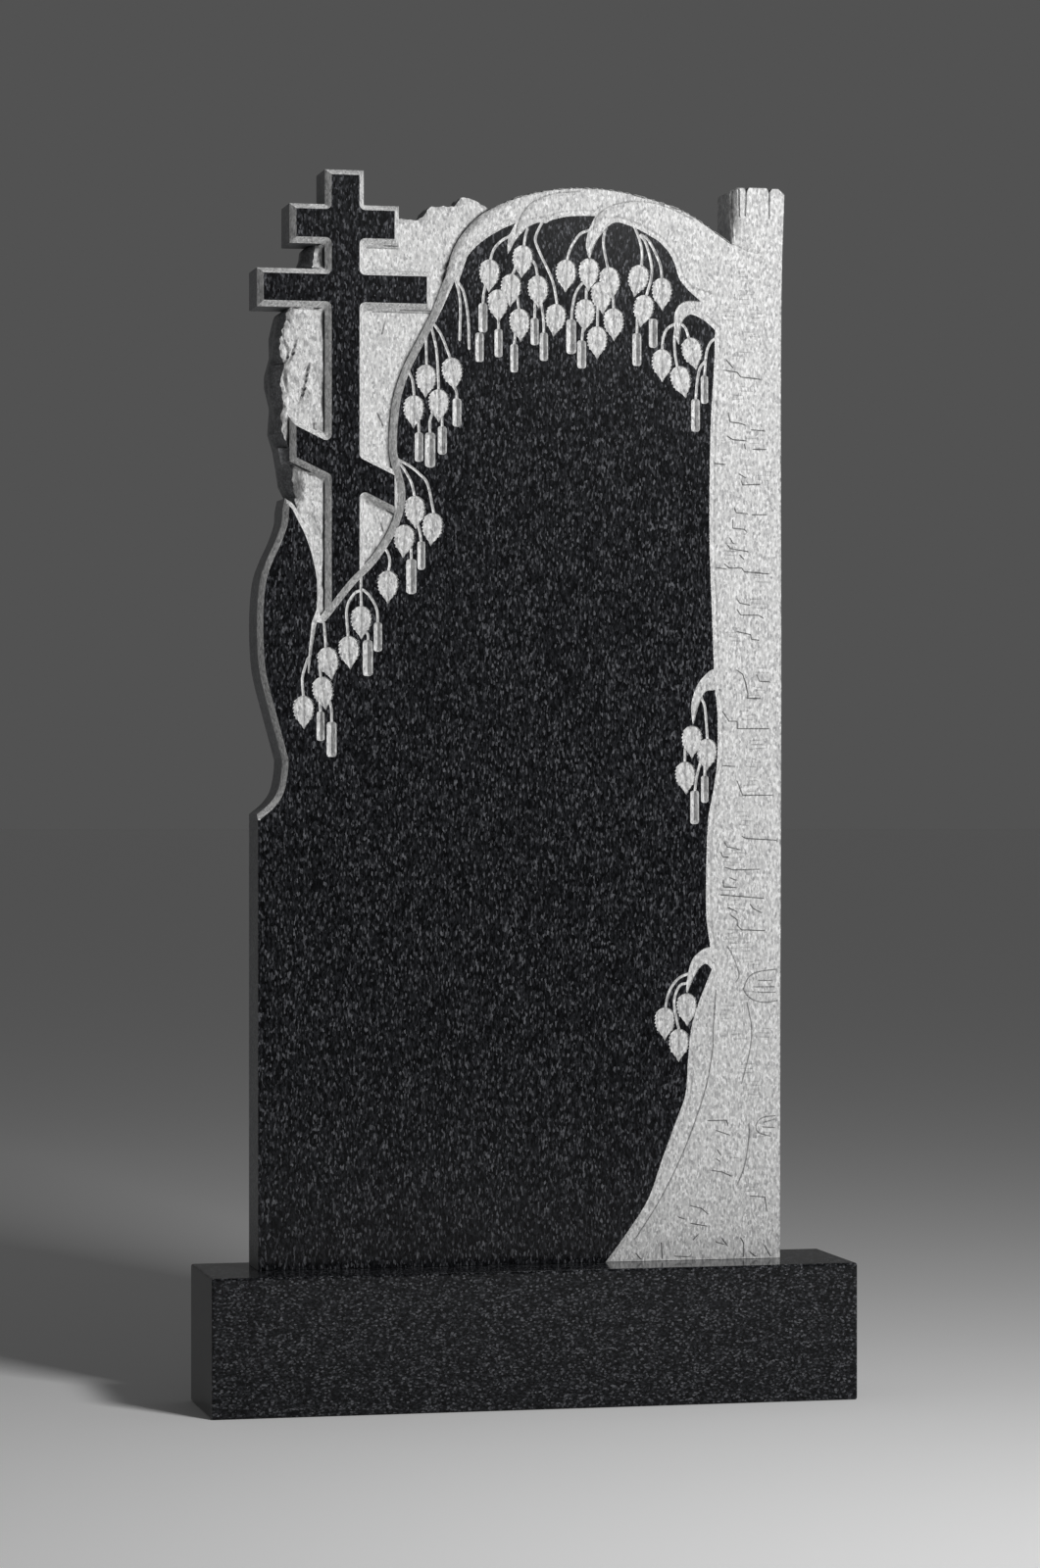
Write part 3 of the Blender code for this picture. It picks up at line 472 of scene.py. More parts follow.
def beside(line, gap, ring=False):
    """A line moved to its left by a gap; a ring runs on from its end to its start."""
    if ring:
        along = np.roll(line, -1, axis=0) - np.roll(line, 1, axis=0)
    else:
        along = np.gradient(line, axis=0)
    along = along / np.maximum(np.linalg.norm(along, axis=1, keepdims=True), 1e-9)
    return line + gap * np.column_stack([-along[:, 1], along[:, 0]])


def closed(line):
    """A line that ends where it starts."""
    return np.vstack([line, line[:1]])


def contains(outline, points):
    """Which points lie inside an outline."""
    near = np.all((points >= outline.min(axis=0)) & (points <= outline.max(axis=0)), axis=1)
    u, v = points[near].T
    odd = np.zeros(len(u), bool)
    for (u0, v0), (u1, v1) in zip(outline, np.roll(outline, -1, axis=0)):
        if v0 != v1:
            odd ^= ((v0 > v) != (v1 > v)) & (u < u0 + (v - v0) * (u1 - u0) / (v1 - v0))
    result = np.zeros(len(points), bool)
    result[near] = odd
    return result


def distance(line, points, reach):
    """How far each point is from a line, at most reach, and how far along the line that is."""
    far = np.full(len(points), float(reach))
    along = np.zeros(len(points))
    gone = 0.0
    box = np.all((points > line.min(axis=0) - reach) & (points < line.max(axis=0) + reach), axis=1)
    places = np.flatnonzero(box)
    spots = points[places]
    for start, end in zip(line, line[1:]):
        step = end - start
        length = float(np.hypot(*step))
        if length == 0.0:
            continue
        low = np.minimum(start, end) - reach
        high = np.maximum(start, end) + reach
        near = np.flatnonzero(np.all((spots > low) & (spots < high), axis=1))
        share = np.clip((spots[near] - start) @ step / length**2, 0.0, 1.0)
        gap = np.linalg.norm(spots[near] - start - share[:, None] * step, axis=1)
        closer = gap < far[places[near]]
        chosen = places[near[closer]]
        far[chosen] = gap[closer]
        along[chosen] = gone + share[closer] * length
        gone += length
    return far, along


def rounding(gap, radius):
    """How far a rounded edge has fallen back at a gap from it."""
    short = np.clip(radius - gap, 0.0, radius)
    return radius - np.sqrt(np.maximum(radius**2 - short**2, 0.0))


def waves(points, width, length, layer):
    """Smooth unevenness from -1 to 1, its swells a width across and a length up."""
    return np.array([noise.noise((u / width, v / length, layer)) for u, v in points])


def facets(points, length, layer):
    """Unevenness like broken stone: flat faces that meet in creases."""
    return np.array([noise.turbulence((u / length, v / length, layer), 3, True) for u, v in points])


def cross_outline(inset):
    """The cross from the foot of its stem up its right side and down its left, drawn in by an inset."""
    half = STEM_WIDTH / 2 - inset
    sides = {}
    for sign in (1, -1):
        side = [(CROSS_AXIS + sign * half, STEM_FOOT)]
        for middle, width, height, slope in (FOOT_BAR, MAIN_BAR, UPPER_BAR):
            reach = width / 2 - inset
            rise = height / 2 - inset * math.hypot(1.0, slope)
            tilt = math.degrees(math.atan(sign * slope))
            level = sign * slope * STEM_WIDTH / 2
            low = inner_corner(level - height / 2, inset, -1.0, (180.0, 90.0 + tilt))
            high = inner_corner(level + height / 2, inset, 1.0, (270.0 + tilt, 180.0))
            tips = [(reach, sign * slope * reach - rise), (reach, sign * slope * reach + rise)]
            side.extend((CROSS_AXIS + sign * out, middle + up) for out, up in low + tips + high)
        side.append((CROSS_AXIS + sign * half, CROSS_TOP - inset))
        sides[sign] = side
    return np.array(sides[1] + sides[-1][::-1])


def inner_corner(up, inset, way, turn):
    """A corner between stem and bar, way 1 over the bar and -1 under it; drawn in, it turns on an arc."""
    out = STEM_WIDTH / 2
    if inset <= 0.0:
        return [(out - inset, up + way * inset)]
    angles = np.radians(np.linspace(*turn, CORNER_POINTS))
    return [(out + inset * math.cos(angle), up + inset * math.sin(angle)) for angle in angles]


def leaf_width(share):
    """Half the width of a leaf's blade at a share of its length, as a share of LEAF_HALF_WIDTH."""
    return np.interp(share, *zip(*LEAF_SHAPE))


def leaf_outline(top, lean):
    """A toothed oval leaf with a drawn-out tip, hanging from its top."""
    side = [(0.0, leaf_width(0.0)), (0.03, leaf_width(0.03))]
    for tooth in range(LEAF_TEETH):
        start = TEETH_START + TEETH_SPAN * tooth / LEAF_TEETH
        for share, out in ((start, -LEAF_TOOTH), (start + TOOTH_LENGTH, LEAF_TOOTH)):
            side.append((share, leaf_width(share) + out / LEAF_HALF_WIDTH))
    side.extend((share, leaf_width(share)) for share in (0.87, 0.93))
    right = [(width * LEAF_HALF_WIDTH, -share * LEAF_LENGTH) for share, width in side]
    left = [(-x, y) for x, y in reversed(right)]
    blade = np.array([*right, (0.0, -LEAF_LENGTH), *left])
    return turned(blade, lean) + top


def turned(points, lean):
    """Leaf points turned so that the tip leans to the right."""
    angle = math.atan2(lean, LEAF_LENGTH)
    turn = np.array([[math.cos(angle), math.sin(angle)], [-math.sin(angle), math.cos(angle)]])
    return points @ turn


FIELDS = np.vstack([
    [(0.0, 0.0)], straight([(0, 0), (0, 482)], 30)[1:-1], curve(LEFT_EDGE, LINE_STEP)[:-1],
    curve(SMALL_FIELD_EDGE, LINE_STEP)[:-1], curve(STRAND_EDGE, LINE_STEP)[:-1], curve(BOUGH_EDGE, LINE_STEP),
    straight(STUMP_TOP, LINE_STEP)[:-1], curve(TRUNK_RIGHT_EDGE, 20.0),
    straight([(573, 0), (378, 0)], 8.0)[1:], straight([(378, 0), (0, 0)], 40.0)[1:-1],
])
CROSS = cross_outline(0.0)


def ragged(line, amount, layer):
    """A line made uneven, its ends kept."""
    shift = np.array([noise.noise((u / RAGGED_GRAIN, v / RAGGED_GRAIN, layer)) for u, v in line]) * amount
    shift[0] = 0.0
    shift[-1] = 0.0
    along = np.gradient(line, axis=0)
    along = along / np.linalg.norm(along, axis=1, keepdims=True)
    return line + shift[:, None] * np.column_stack([-along[:, 1], along[:, 0]])


ROCK_LEFT = ragged(curve(ROCK_EDGE, 1.8), 2.2, 3.0)
ROCK_CROWN = ragged(curve(ROCK_TOP, 1.8), 1.8, 4.0)
ROCK = np.vstack([ROCK_LEFT, ROCK_CROWN, straight(ROCK_UNDER, 40.0)])

TREE_STRETCHES = [curve(stretch, LINE_STEP) for stretch in TREE_EDGE]
TREE_LINE = np.vstack([stretch[:-1] for stretch in TREE_STRETCHES[:-1]] + [TREE_STRETCHES[-1]])
TREE = np.vstack([
    TREE_LINE, STRAND_END, curve(BOUGH_EDGE, LINE_STEP), straight(STUMP_TOP, LINE_STEP),
    curve(TRUNK_RIGHT_EDGE, 20.0),
])
CHAMFERED = [
    (curve(LEFT_EDGE, LINE_STEP), FIELD_CHAMFER),
    (curve(SMALL_FIELD_EDGE, LINE_STEP), FIELD_CHAMFER),
    (curve(STRAND_EDGE, LINE_STEP), STRAND_CHAMFER),
]
BOUGH_LINE = curve(BOUGH_EDGE, LINE_STEP)


def held(outline, points):
    """Which points lie inside an outline or on it."""
    return contains(outline, points) | (distance(closed(outline), points, 0.1)[0] < 0.05)


def ground(points):
    """Depth of the hewn rock: broad broken faces on the left of the stem, fine chisel marks all over."""
    u, v = points.T
    coarse = np.clip((CROSS_AXIS - u) / GROUND_TURN, 0.0, 1.0)
    high = np.clip((v - HIGH_GROUND) / HIGH_GROUND_TURN, 0.0, 1.0)
    broken = facets(points, FACET_LENGTH, 1.0) - 0.5
    marks = waves(points, CHISEL_MARK_WIDTH, CHISEL_MARK_LENGTH, 2.0)
    depth = GROUND_DEPTH + GROUND_FALL * coarse * (1.0 + 2.0 * high)
    depth += FACET_DEPTH * broken * (0.25 + coarse) + CHISEL_MARK_DEPTH * marks
    low_corner = np.interp(v, LOW_CORNER_HEIGHTS, [0.0, 1.0, 1.0, 0.0])
    depth += LOW_CORNER_FALL * low_corner * np.clip((LOW_CORNER_RIGHT - u) / LOW_CORNER_TURN, 0.0, 1.0)
    for line in ROCK_STEPS:
        depth += stepped(points, line, ROCK_STEP_DROP, ROCK_STEP_REACH, 0.0)
    for line in (closed(CROSS), CHAMFERED[1][0], CHAMFERED[2][0], BOUGH_LINE):
        gap, _ = distance(line, points, GROUND_FILLET)
        depth -= GROUND_FILLET * FILLET_SHARE * (1.0 - gap / GROUND_FILLET) ** 2
    for line in (ROCK_LEFT, ROCK_CROWN):
        gap, _ = distance(line, points, RAGGED_EDGE)
        chip = 0.5 + 0.8 * waves(points, 9.0, 12.0, 5.0)
        amount = np.interp(v, NARROW_HEIGHTS, NARROW_CHIPPING)
        depth += amount * RAGGED_EDGE * np.clip(chip, 0.1, 1.2) * (1.0 - gap / RAGGED_EDGE) ** 2
    return depth


def stepped(points, line, drop, reach, lip):
    """Extra depth on the left of a line, fading away from it, and a lip that rounds over on its right."""
    path = curve(line, LINE_STEP)
    gap, along = distance(path, points, reach * 2)
    near = np.argmin(np.linalg.norm(points[:, None, :] - path[None, :, :], axis=2), axis=1)
    ahead = path[np.minimum(near + 1, len(path) - 1)] - path[np.maximum(near - 1, 0)]
    side = ahead[:, 0] * (points[:, 1] - path[near, 1]) - ahead[:, 1] * (points[:, 0] - path[near, 0])
    length = np.linalg.norm(np.diff(path, axis=0), axis=1).sum()
    fade = min(STEP_FADE, length / 3)
    ends = np.clip(along / fade, 0.0, 1.0) * np.clip((length - along) / fade, 0.0, 1.0)
    behind = drop * np.exp(-gap / reach)
    over = lip * np.clip(1.0 - gap / LIP_WIDTH, 0.0, 1.0) ** 2
    return np.where(side > 0, behind, over) * ends * (gap < reach * 1.99)


def groove(depth, shade_paint, points, line, width, most, darkness, wanted):
    """Cuts a V along a line into the wanted points, with shade painted along its bottom."""
    gap, _ = distance(line, points, width / 2)
    cut = wanted & (gap < width / 2)
    share = 1.0 - 2.0 * gap[cut] / width
    depth[cut] += most * share
    shade_paint[cut] = np.maximum(shade_paint[cut], darkness * np.minimum(1.0, 1.5 * share))


def tree(points, depth):
    """The bark over the sunk border, the rounded bough, its limbs and the drooping branches."""
    u, v = points.T
    gap, _ = distance(TREE_LINE, points, BORDER_REACH)
    border = np.interp(gap, [0.0, BORDER_WIDTH, BORDER_WIDTH * 1.5, BORDER_REACH],
                       [BORDER_LIP, BORDER_DEPTH, BARK_DEPTH * 1.25, BARK_DEPTH])
    fade = np.clip((v - EDGE_FADE[0]) / (EDGE_FADE[1] - EDGE_FADE[0]), 0.1, 1.0)
    border *= np.where(u < EDGE_FADE_RIGHT, fade, 1.0)
    for line in DROOPS:
        path = curve(line, LINE_STEP)
        far = 1.3 * path[:, 2].max()
        gap, along = distance(path[:, :2], points, far)
        gone = np.concatenate([[0.0], np.cumsum(np.linalg.norm(np.diff(path[:, :2], axis=0), axis=1))])
        half = np.interp(along, gone, path[:, 2])
        share = np.minimum(gap / half, 1.0)
        swell = DROOP_DEPTH - DROOP_SWELL * np.sqrt(1.0 - share**2)
        weight = np.clip(along / DROOP_START, 0.0, 1.0) * (gap < far * 0.99)
        border += (swell - border) * weight
    depth = np.maximum(depth, border)
    for line in LIMB_STEPS:
        depth += stepped(points, line, STEP_DEPTH, STEP_REACH, STEP_LIP)
    gap, along = distance(BOUGH_LINE, points, BOUGH_REACH)
    radius = np.interp(along, *zip(*BOUGH_ROUNDING))
    depth = np.maximum(depth, rounding(gap, radius))
    stump = np.clip((v - STUMP_FOOT) / STUMP_FADE, 0.0, 1.0) * (u > STUMP_LEFT - 0.1)
    across, back = STUMP_ROUNDING
    depth = np.maximum(depth, rounding(np.maximum(u - STUMP_LEFT, 0.0), across) * stump * back / across)
    depth += BARK_ROUGHNESS * (waves(points, 6.0, 11.0, 6.0) + 0.6 * waves(points, 2.6, 4.0, 7.0))
    return np.maximum(depth, LEAST_CARVED)


def leaf(depth, shade_paint, points, top, lean, free):
    """Sinks one leaf: two swelling halves either side of its midrib, with faint side veins."""
    outline = leaf_outline(np.array(top), lean)
    inside = contains(outline, points) & free
    x, y = turned(points[inside] - top, -lean).T
    share = np.abs(x) / (LEAF_HALF_WIDTH * leaf_width(-y / LEAF_LENGTH))
    share = np.minimum(share, 1.0)
    swell = 1.0 - (2.0 * share - 1.0) ** 4
    vein = np.cos((y + VEIN_RISE * np.abs(x)) * 2.0 * math.pi / VEIN_SPACING)
    depth[inside] = LEAF_EDGE_DEPTH - LEAF_SWELL * swell + VEIN_DEPTH * vein * swell
    # Shade painted along the midrib, in the crease between the two swelling halves
    shade_paint[inside] = MIDRIB_PAINTED_SHADE * np.clip(1.0 - np.abs(x), 0.0, 1.0)
    free[inside] = False


def catkin(depth, shade_paint, points, top, length, width, free):
    """Sinks one catkin: a hollow that is deepest right of its middle, with a narrow rim on the right."""
    half = width / 2
    inside = contains(catkin_outline(top, length, width, 0.0), points) & free
    x = (points[inside, 0] - top[0]) / half
    down = top[1] - points[inside, 1]
    end = np.clip(np.minimum(down, length - down) / (0.6 * half), 0.15, 1.0)
    across = np.interp(x, [-1.0, CATKIN_KEEL, CATKIN_RIM, 1.0], [0.2, 1.0, 0.12, 0.08])
    depth[inside] = CATKIN_DEPTH * across * end
    # Shade painted on the hollow's right-hand wall, which faces left, away from the key light
    shade = [CATKIN_KEEL - CATKIN_SHADE, CATKIN_KEEL, CATKIN_RIM, 1.0]
    shade_paint[inside] = CATKIN_PAINTED_SHADE * np.interp(x, shade, [0.0, 1.0, 0.5, 0.0])
    free[inside] = False


def catkin_outline(top, length, width, inset):
    """The round-cornered bar that a catkin fills, drawn in by an inset."""
    half = width / 2 - inset
    corner = half * 0.6
    rise = length / 2 - inset - corner
    points = []
    for quarter, (x, y) in enumerate(((1, 1), (-1, 1), (-1, -1), (1, -1))):
        for angle in np.radians(np.arange(0, 91, 30) + 90 * quarter):
            points.append((top[0] + x * (half - corner) + corner * math.cos(angle),
                           top[1] - length / 2 + y * rise + corner * math.sin(angle)))
    return np.array(points)


def stalk_line(points):
    """A stalk from its branch, run on a little into what hangs on it."""
    foot = (points[-1][0], points[-1][1] - STALK_LAP)
    return curve([*points, foot] if len(points) == 1 else [*points[:-1], foot], LINE_STEP)


def cut_lines():
    """Every line cut into the stone: its points, width, depth and darkness, and what it is cut into."""
    on_tree = [
        (straight, BARK_BREAKS, BREAK_CUT), (curve, CREASES, CREASE_CUT), (curve, SPLITS, SPLIT_CUT),
        (straight, bark_marks(), MARK_CUT), (curve, LIMB_STEPS[:2], LIMB_CUT),
    ]
    on_rock = [
        (curve, CRACKS, CRACK_CUT), (curve, CHISELLED_SEAMS, CHISELLED_CUT),
        (curve, ROCK_STEPS, ROCK_STEP_CUT),
    ]
    middles = [beside(stretch, -BORDER_WIDTH - BORDER_CUT[0] / 2) for stretch in TREE_STRETCHES]
    cuts = [(run(line, LINE_STEP), *cut, "tree") for run, lines, cut in on_tree for line in lines]
    cuts += [(line, *BORDER_CUT, "tree") for line in middles]
    cuts += [(run(line, LINE_STEP), *cut, "rock") for run, lines, cut in on_rock for line in lines]
    return cuts


def hanging_stalks():
    """The line of every stalk."""
    stalks = [stalk for _, stalk in LEAVES] + [stalk for _, _, stalk in CATKINS] + BARE_STALKS
    return [stalk_line(stalk) for stalk in stalks if len(stalk) > 1]


def bark_marks():
    """Small groups of faint level marks scattered over the trunk."""
    chance = np.random.default_rng(SEED + 4)
    marks = []
    for _ in range(MARK_GROUPS):
        left = chance.uniform(*MARKS_ACROSS)
        v = chance.uniform(*MARKS_UP)
        for _ in range(chance.integers(*MARKS_IN_GROUP)):
            start = left + chance.uniform(-MARK_SHIFT, MARK_SHIFT)
            end = start + chance.uniform(*MARK_LENGTH)
            marks.append([(start, v), (end, v - chance.uniform(-MARK_TILT, MARK_TILT))])
            v -= MARK_SPACING
    return marks


def relief(points):
    """How deep each point of the front lies under the polished face, and how much shade is painted on it."""
    depth = np.zeros(len(points))
    shade_paint = np.zeros(len(points))
    in_fields = held(FIELDS, points)
    in_cross = held(CROSS, points) & ~in_fields
    rock = ~in_fields & ~in_cross
    depth[rock] = ground(points[rock])
    gap, _ = distance(closed(CROSS), points, CROSS_CHAMFER)
    depth[in_cross] = CHAMFER_DEPTH * (1.0 - gap[in_cross] / CROSS_CHAMFER)
    # Shade painted on the cross's chamfers, darkest at their outer foot; the next line clears it wherever the
    # cross lies just to the left, so only chamfers facing left keep it
    shade_paint[in_cross] = CHAMFER_PAINTED_SHADE * (1.0 - gap[in_cross] / CROSS_CHAMFER)
    shade_paint[contains(CROSS, points - (CROSS_CHAMFER + JUST_PAST, 0.0))] = 0.0
    for line, width in CHAMFERED:
        gap, _ = distance(line, points, width)
        slope = 1.0 - gap / width
        depth = np.where(in_fields, np.maximum(depth, CHAMFER_DEPTH * slope), depth)
        # Shade painted on the fields' chamfers that face left, darkest at their outer foot
        leftward = in_fields & ~contains(FIELDS, points - (width + JUST_PAST, 0.0))
        shade_paint = np.where(leftward, np.maximum(shade_paint, CHAMFER_PAINTED_SHADE * slope), shade_paint)
    in_tree = in_fields & contains(TREE, points)
    depth[in_tree] = tree(points[in_tree], depth[in_tree])
    # Painted shadow on the rock close beside walls that face left or down, darkest next to them
    for outline in (FIELDS, CROSS):
        gap, _ = distance(closed(outline), points[rock], WALL_FOOT_SHADE_WIDTH)
        for way, darkest in WALL_FOOT_SHADES:
            facing = contains(outline, points[rock] + np.array(way) * WALL_FOOT_SHADE_WIDTH)
            share = np.minimum(1.0, (WALL_FOOT_SHADE_WIDTH - gap) / (WALL_FOOT_SHADE_WIDTH - WALL_FOOT_SHADE_CORE))
            shade_paint[rock] = np.maximum(shade_paint[rock], facing * darkest * share)
    # Every cut line gets shade painted along its bottom
    for line, *cut, where in cut_lines():
        groove(depth, shade_paint, points, line, *cut, in_tree if where == "tree" else rock)
    free = in_fields & ~in_tree
    for lean, stalk in LEAVES:
        leaf(depth, shade_paint, points, stalk[-1], lean, free)
    for length, width, stalk in CATKINS:
        catkin(depth, shade_paint, points, stalk[-1], length, width, free)
    for line in hanging_stalks():
        gap, _ = distance(line, points, STALK_WIDTH / 2)
        depth = np.where(free, np.maximum(depth, STALK_DEPTH * (1.0 - 2.0 * gap / STALK_WIDTH)), depth)
    gap, along = distance(curve(STRAND_TIP, LINE_STEP), points, STRAND_TIP_WIDTH / 2)
    slim = np.interp(along, [0.0, STRAND_TIP_LENGTH], [STRAND_TIP_WIDTH / 2, STRAND_TIP_END])
    sunk = STRAND_TIP_DEPTH * np.clip(1.0 - gap / slim, 0.0, 1.0)
    return np.where(free, np.maximum(depth, sunk), depth), shade_paint


def crease_lines():
    """Every line that the mesh follows: edges of the pieces, feet of walls, ridges and grooves."""
    lines = [closed(FIELDS), closed(beside(FIELDS, WALL_LEAN, True)), closed(ROCK)]
    lines.append(closed(beside(FIELDS, -WALL_LEAN, True)))
    for inset in (0.0, CROSS_CHAMFER):
        lines.append(straight(closed(cross_outline(inset)), CROSS_STEP))
    lines.append(straight(closed(cross_outline(-WALL_LEAN)), CORNER_STEP))
    for width in (WALL_FOOT_SHADE_CORE, WALL_FOOT_SHADE_WIDTH):
        lines.append(straight(closed(cross_outline(-width)), CORNER_STEP))
        lines.append(closed(beside(FIELDS, -width, True)))
    below = LEFT_EDGE[0][1] - FIELD_CHAMFER - 0.5
    lines.append(np.array([(0.0, below), (FIELD_CHAMFER, below)]))
    for line, width in CHAMFERED:
        lines.append(beside(line, -width))
    for gap in (-0.2, 0.2):
        lines.extend(beside(stretch, -gap) for stretch in TREE_STRETCHES)
    for line in DROOPS:
        lines.append(curve(line, LINE_STEP)[:, :2])
    lines.extend(curve(line, LINE_STEP) for line in LIMB_STEPS)
    for line, width, *_ in cut_lines():
        lines.extend([beside(line, width / 2), line, beside(line, -width / 2)])
    for line in hanging_stalks():
        lines.extend([beside(line, STALK_WIDTH / 2), line, beside(line, -STALK_WIDTH / 2)])
    for points in BARE_STALKS:
        line = stalk_line(points)
        half = STALK_WIDTH / 2
        lines.append(np.array([beside(line, half)[-1], line[-1] - (0.0, half), beside(line, -half)[-1]]))
    tip = curve(STRAND_TIP, LINE_STEP)
    half = np.linspace(STRAND_TIP_WIDTH / 2, STRAND_TIP_END, len(tip))[:, None]
    left, right = beside(tip, half), beside(tip, -half)
    lines.extend([left, tip, right, np.array([left[-1], tip[-1] - (0.0, STRAND_TIP_END), right[-1]])])
    for lean, stalk in LEAVES:
        outline = leaf_outline(np.array(stalk[-1]), lean)
        lines.extend([closed(beside(outline, 0.15, True)), closed(beside(outline, -0.2, True))])
        midrib = np.array([(0.0, -1.0), (0.0, 1.0 - LEAF_LENGTH)])
        lines.append(straight(turned(midrib, lean) + stalk[-1], MIDRIB_STEP))
    for length, width, stalk in CATKINS:
        for inset in (-0.1, 0.2):
            lines.append(closed(catkin_outline(stalk[-1], length, width, inset)))
        for out in (CATKIN_KEEL - CATKIN_SHADE, CATKIN_KEEL, CATKIN_RIM):
            u, v = stalk[-1][0] + out * width / 2, stalk[-1][1]
            lines.append(straight([(u, v - CATKIN_END), (u, v - length + CATKIN_END)], LINE_STEP))
    return lines


def scatter(outline, step, seed):
    """Loose points about a step apart inside an outline."""
    chance = np.random.default_rng(seed)
    low, high = outline.min(axis=0), outline.max(axis=0)
    rows = np.arange(low[1], high[1], step * 0.866)
    spots = []
    for i, v in enumerate(rows):
        across = np.arange(low[0] + (i % 2) * step / 2, high[0], step)
        spots.append(np.column_stack([across, np.full(len(across), v)]))
    spots = np.vstack(spots)
    spots += chance.uniform(-0.22, 0.22, spots.shape) * step
    return spots[contains(outline, spots)]


def away_from(lines, spots, cell):
    """The loose points that are not close to a line."""
    taken = set()
    for line in lines:
        for u, v in np.floor(line / cell).astype(int):
            taken.update(((u, v), (u + 1, v), (u - 1, v), (u, v + 1), (u, v - 1)))
    cells = np.floor(spots / cell).astype(int)
    return spots[[(u, v) not in taken for u, v in cells]]


def front_points(lines):
    """Loose points that carry the fine shape of bark, rock and leaves."""
    fine = [straight(line, 1.0) for line in lines]
    spots = [scatter(TREE, CARVED_STEP, SEED), scatter(ROCK, CARVED_STEP, SEED + 1)]
    for lean, stalk in LEAVES:
        outline = leaf_outline(np.array(stalk[-1]), lean)
        spots.append(scatter(outline, LEAF_STEP, SEED + 2))
    carved = away_from(fine, np.vstack(spots), 1.0)
    return np.vstack([carved, away_from(fine, scatter(FIELDS, POLISHED_STEP, SEED + 3), 6.0)])


def front_mesh():
    """The front as flat points and triangles that follow every line."""
    lines = crease_lines()
    points = []
    edges = []
    for line in lines:
        start = len(points)
        points.extend(line)
        edges.extend((i, i + 1) for i in range(start, len(points) - 1))
    points.extend(front_points(lines))
    flat = [Vector(point) for point in points]
    corners, _, faces, _, _, _ = delaunay_2d_cdt(flat, edges, [], 0, 0.02)
    corners = np.array([tuple(corner) for corner in corners])
    faces = np.array(faces)
    middles = corners[faces].mean(axis=1)
    kept = contains(FIELDS, middles) | contains(CROSS, middles) | contains(ROCK, middles)
    faces = faces[kept]
    used, renumbered = np.unique(faces, return_inverse=True)
    return corners[used], renumbered.reshape(-1, 3)


def border_loop(faces):
    """The corners round the edge of a sheet of triangles, in order."""
    onward = {}
    pairs = {tuple(pair) for face in faces for pair in (face[[0, 1]], face[[1, 2]], face[[2, 0]])}
    for a, b in pairs:
        if (b, a) not in pairs:
            onward[a] = b
    start = min(onward)
    loop = [start]
    while onward[loop[-1]] != start:
        loop.append(onward[loop[-1]])
    return np.array(loop)


def side_shift(loop_points, rows):
    """How far the sides of the rock stand out from its front edge, for each corner and each row."""
    left_gap, _ = distance(ROCK_LEFT, loop_points, 1.0)
    crown_gap, _ = distance(ROCK_CROWN, loop_points, 1.0)
    loose = ~held(FIELDS, loop_points) & ~held(CROSS, loop_points)
    on_left = soft(((left_gap < 0.5) & loose).astype(float))
    on_crown = soft(((crown_gap < 0.5) & loose).astype(float))
    u, v = loop_points.T
    on_bar = (u < BAR_END_RIGHT) & (v > BAR_END_HEIGHTS[0]) & (v < BAR_END_HEIGHTS[1])
    back = np.array(ROCK_BACK_EDGE)
    lean = np.interp(v, back[:, 1], back[:, 0]) - u
    shift = np.zeros((len(rows), len(loop_points), 2))
    for k, share in enumerate(rows):
        bulge = np.array([noise.noise((share * 2.2, y / SIDE_BULGE, 8.0)) for y in v])
        dent = np.array([noise.noise((share * 4.0, x / 14.0, y / 14.0)) for x, y in loop_points])
        out = math.sin(min(1.0, share * 1.5) * math.pi / 2)
        behind_bar = min(1.0, max(0.0, SIDE_ROWS * share - BAR_END_ROWS))
        shift[k, :, 0] = on_left * (lean * out + SIDE_SWELL * bulge * math.sin(share * math.pi))
        shift[k, :, 0] += on_bar * (1.0 - on_left) * lean * behind_bar
        shift[k, :, 1] = on_crown * CROWN_DENT * dent * math.sqrt(share)
    return shift


def back_faces(outline):
    """Triangles that fill the outline of the back, as places in it."""
    flat = [Vector(point) for point in outline]
    edges = [(i, (i + 1) % len(flat)) for i in range(len(flat))]
    _, _, faces, origins, _, _ = delaunay_2d_cdt(flat, edges, [], 1, 1e-5)
    return [[origins[corner][0] for corner in face] for face in faces]


def soft(weights):
    """Weights that fade in over a few corners inside each stretch."""
    for _ in range(4):
        weights = np.minimum(weights, (np.roll(weights, 1) + weights + np.roll(weights, -1)) / 3)
    return weights


def wall_faces(points, depth, faces):
    """Which triangles of the front stand nearly square to it."""
    a, b, c = points[faces].transpose(1, 0, 2)
    rise_b, rise_c = depth[faces[:, 1]] - depth[faces[:, 0]], depth[faces[:, 2]] - depth[faces[:, 0]]
    side_b, side_c = np.column_stack([b - a, rise_b]), np.column_stack([c - a, rise_c])
    normal = np.cross(side_b, side_c)
    return np.abs(normal[:, 2]) < WALL_SLOPE * np.linalg.norm(normal, axis=1)


def sharpen_between(mesh, kinds):
    """Keeps a hard edge wherever one finish meets another."""
    turns = len(mesh.loops)
    edge = np.zeros(turns, int)
    mesh.loops.foreach_get("edge_index", edge)
    counts = np.zeros(len(mesh.polygons), int)
    mesh.polygons.foreach_get("loop_total", counts)
    kind = np.repeat(kinds, counts)
    low = np.full(len(mesh.edges), 9)
    high = np.zeros(len(mesh.edges), int)
    np.minimum.at(low, edge, kind)
    np.maximum.at(high, edge, kind)
    sharp = np.zeros(len(mesh.edges), bool)
    mesh.attributes["sharp_edge"].data.foreach_get("value", sharp)
    mesh.attributes["sharp_edge"].data.foreach_set("value", sharp | (low != high))


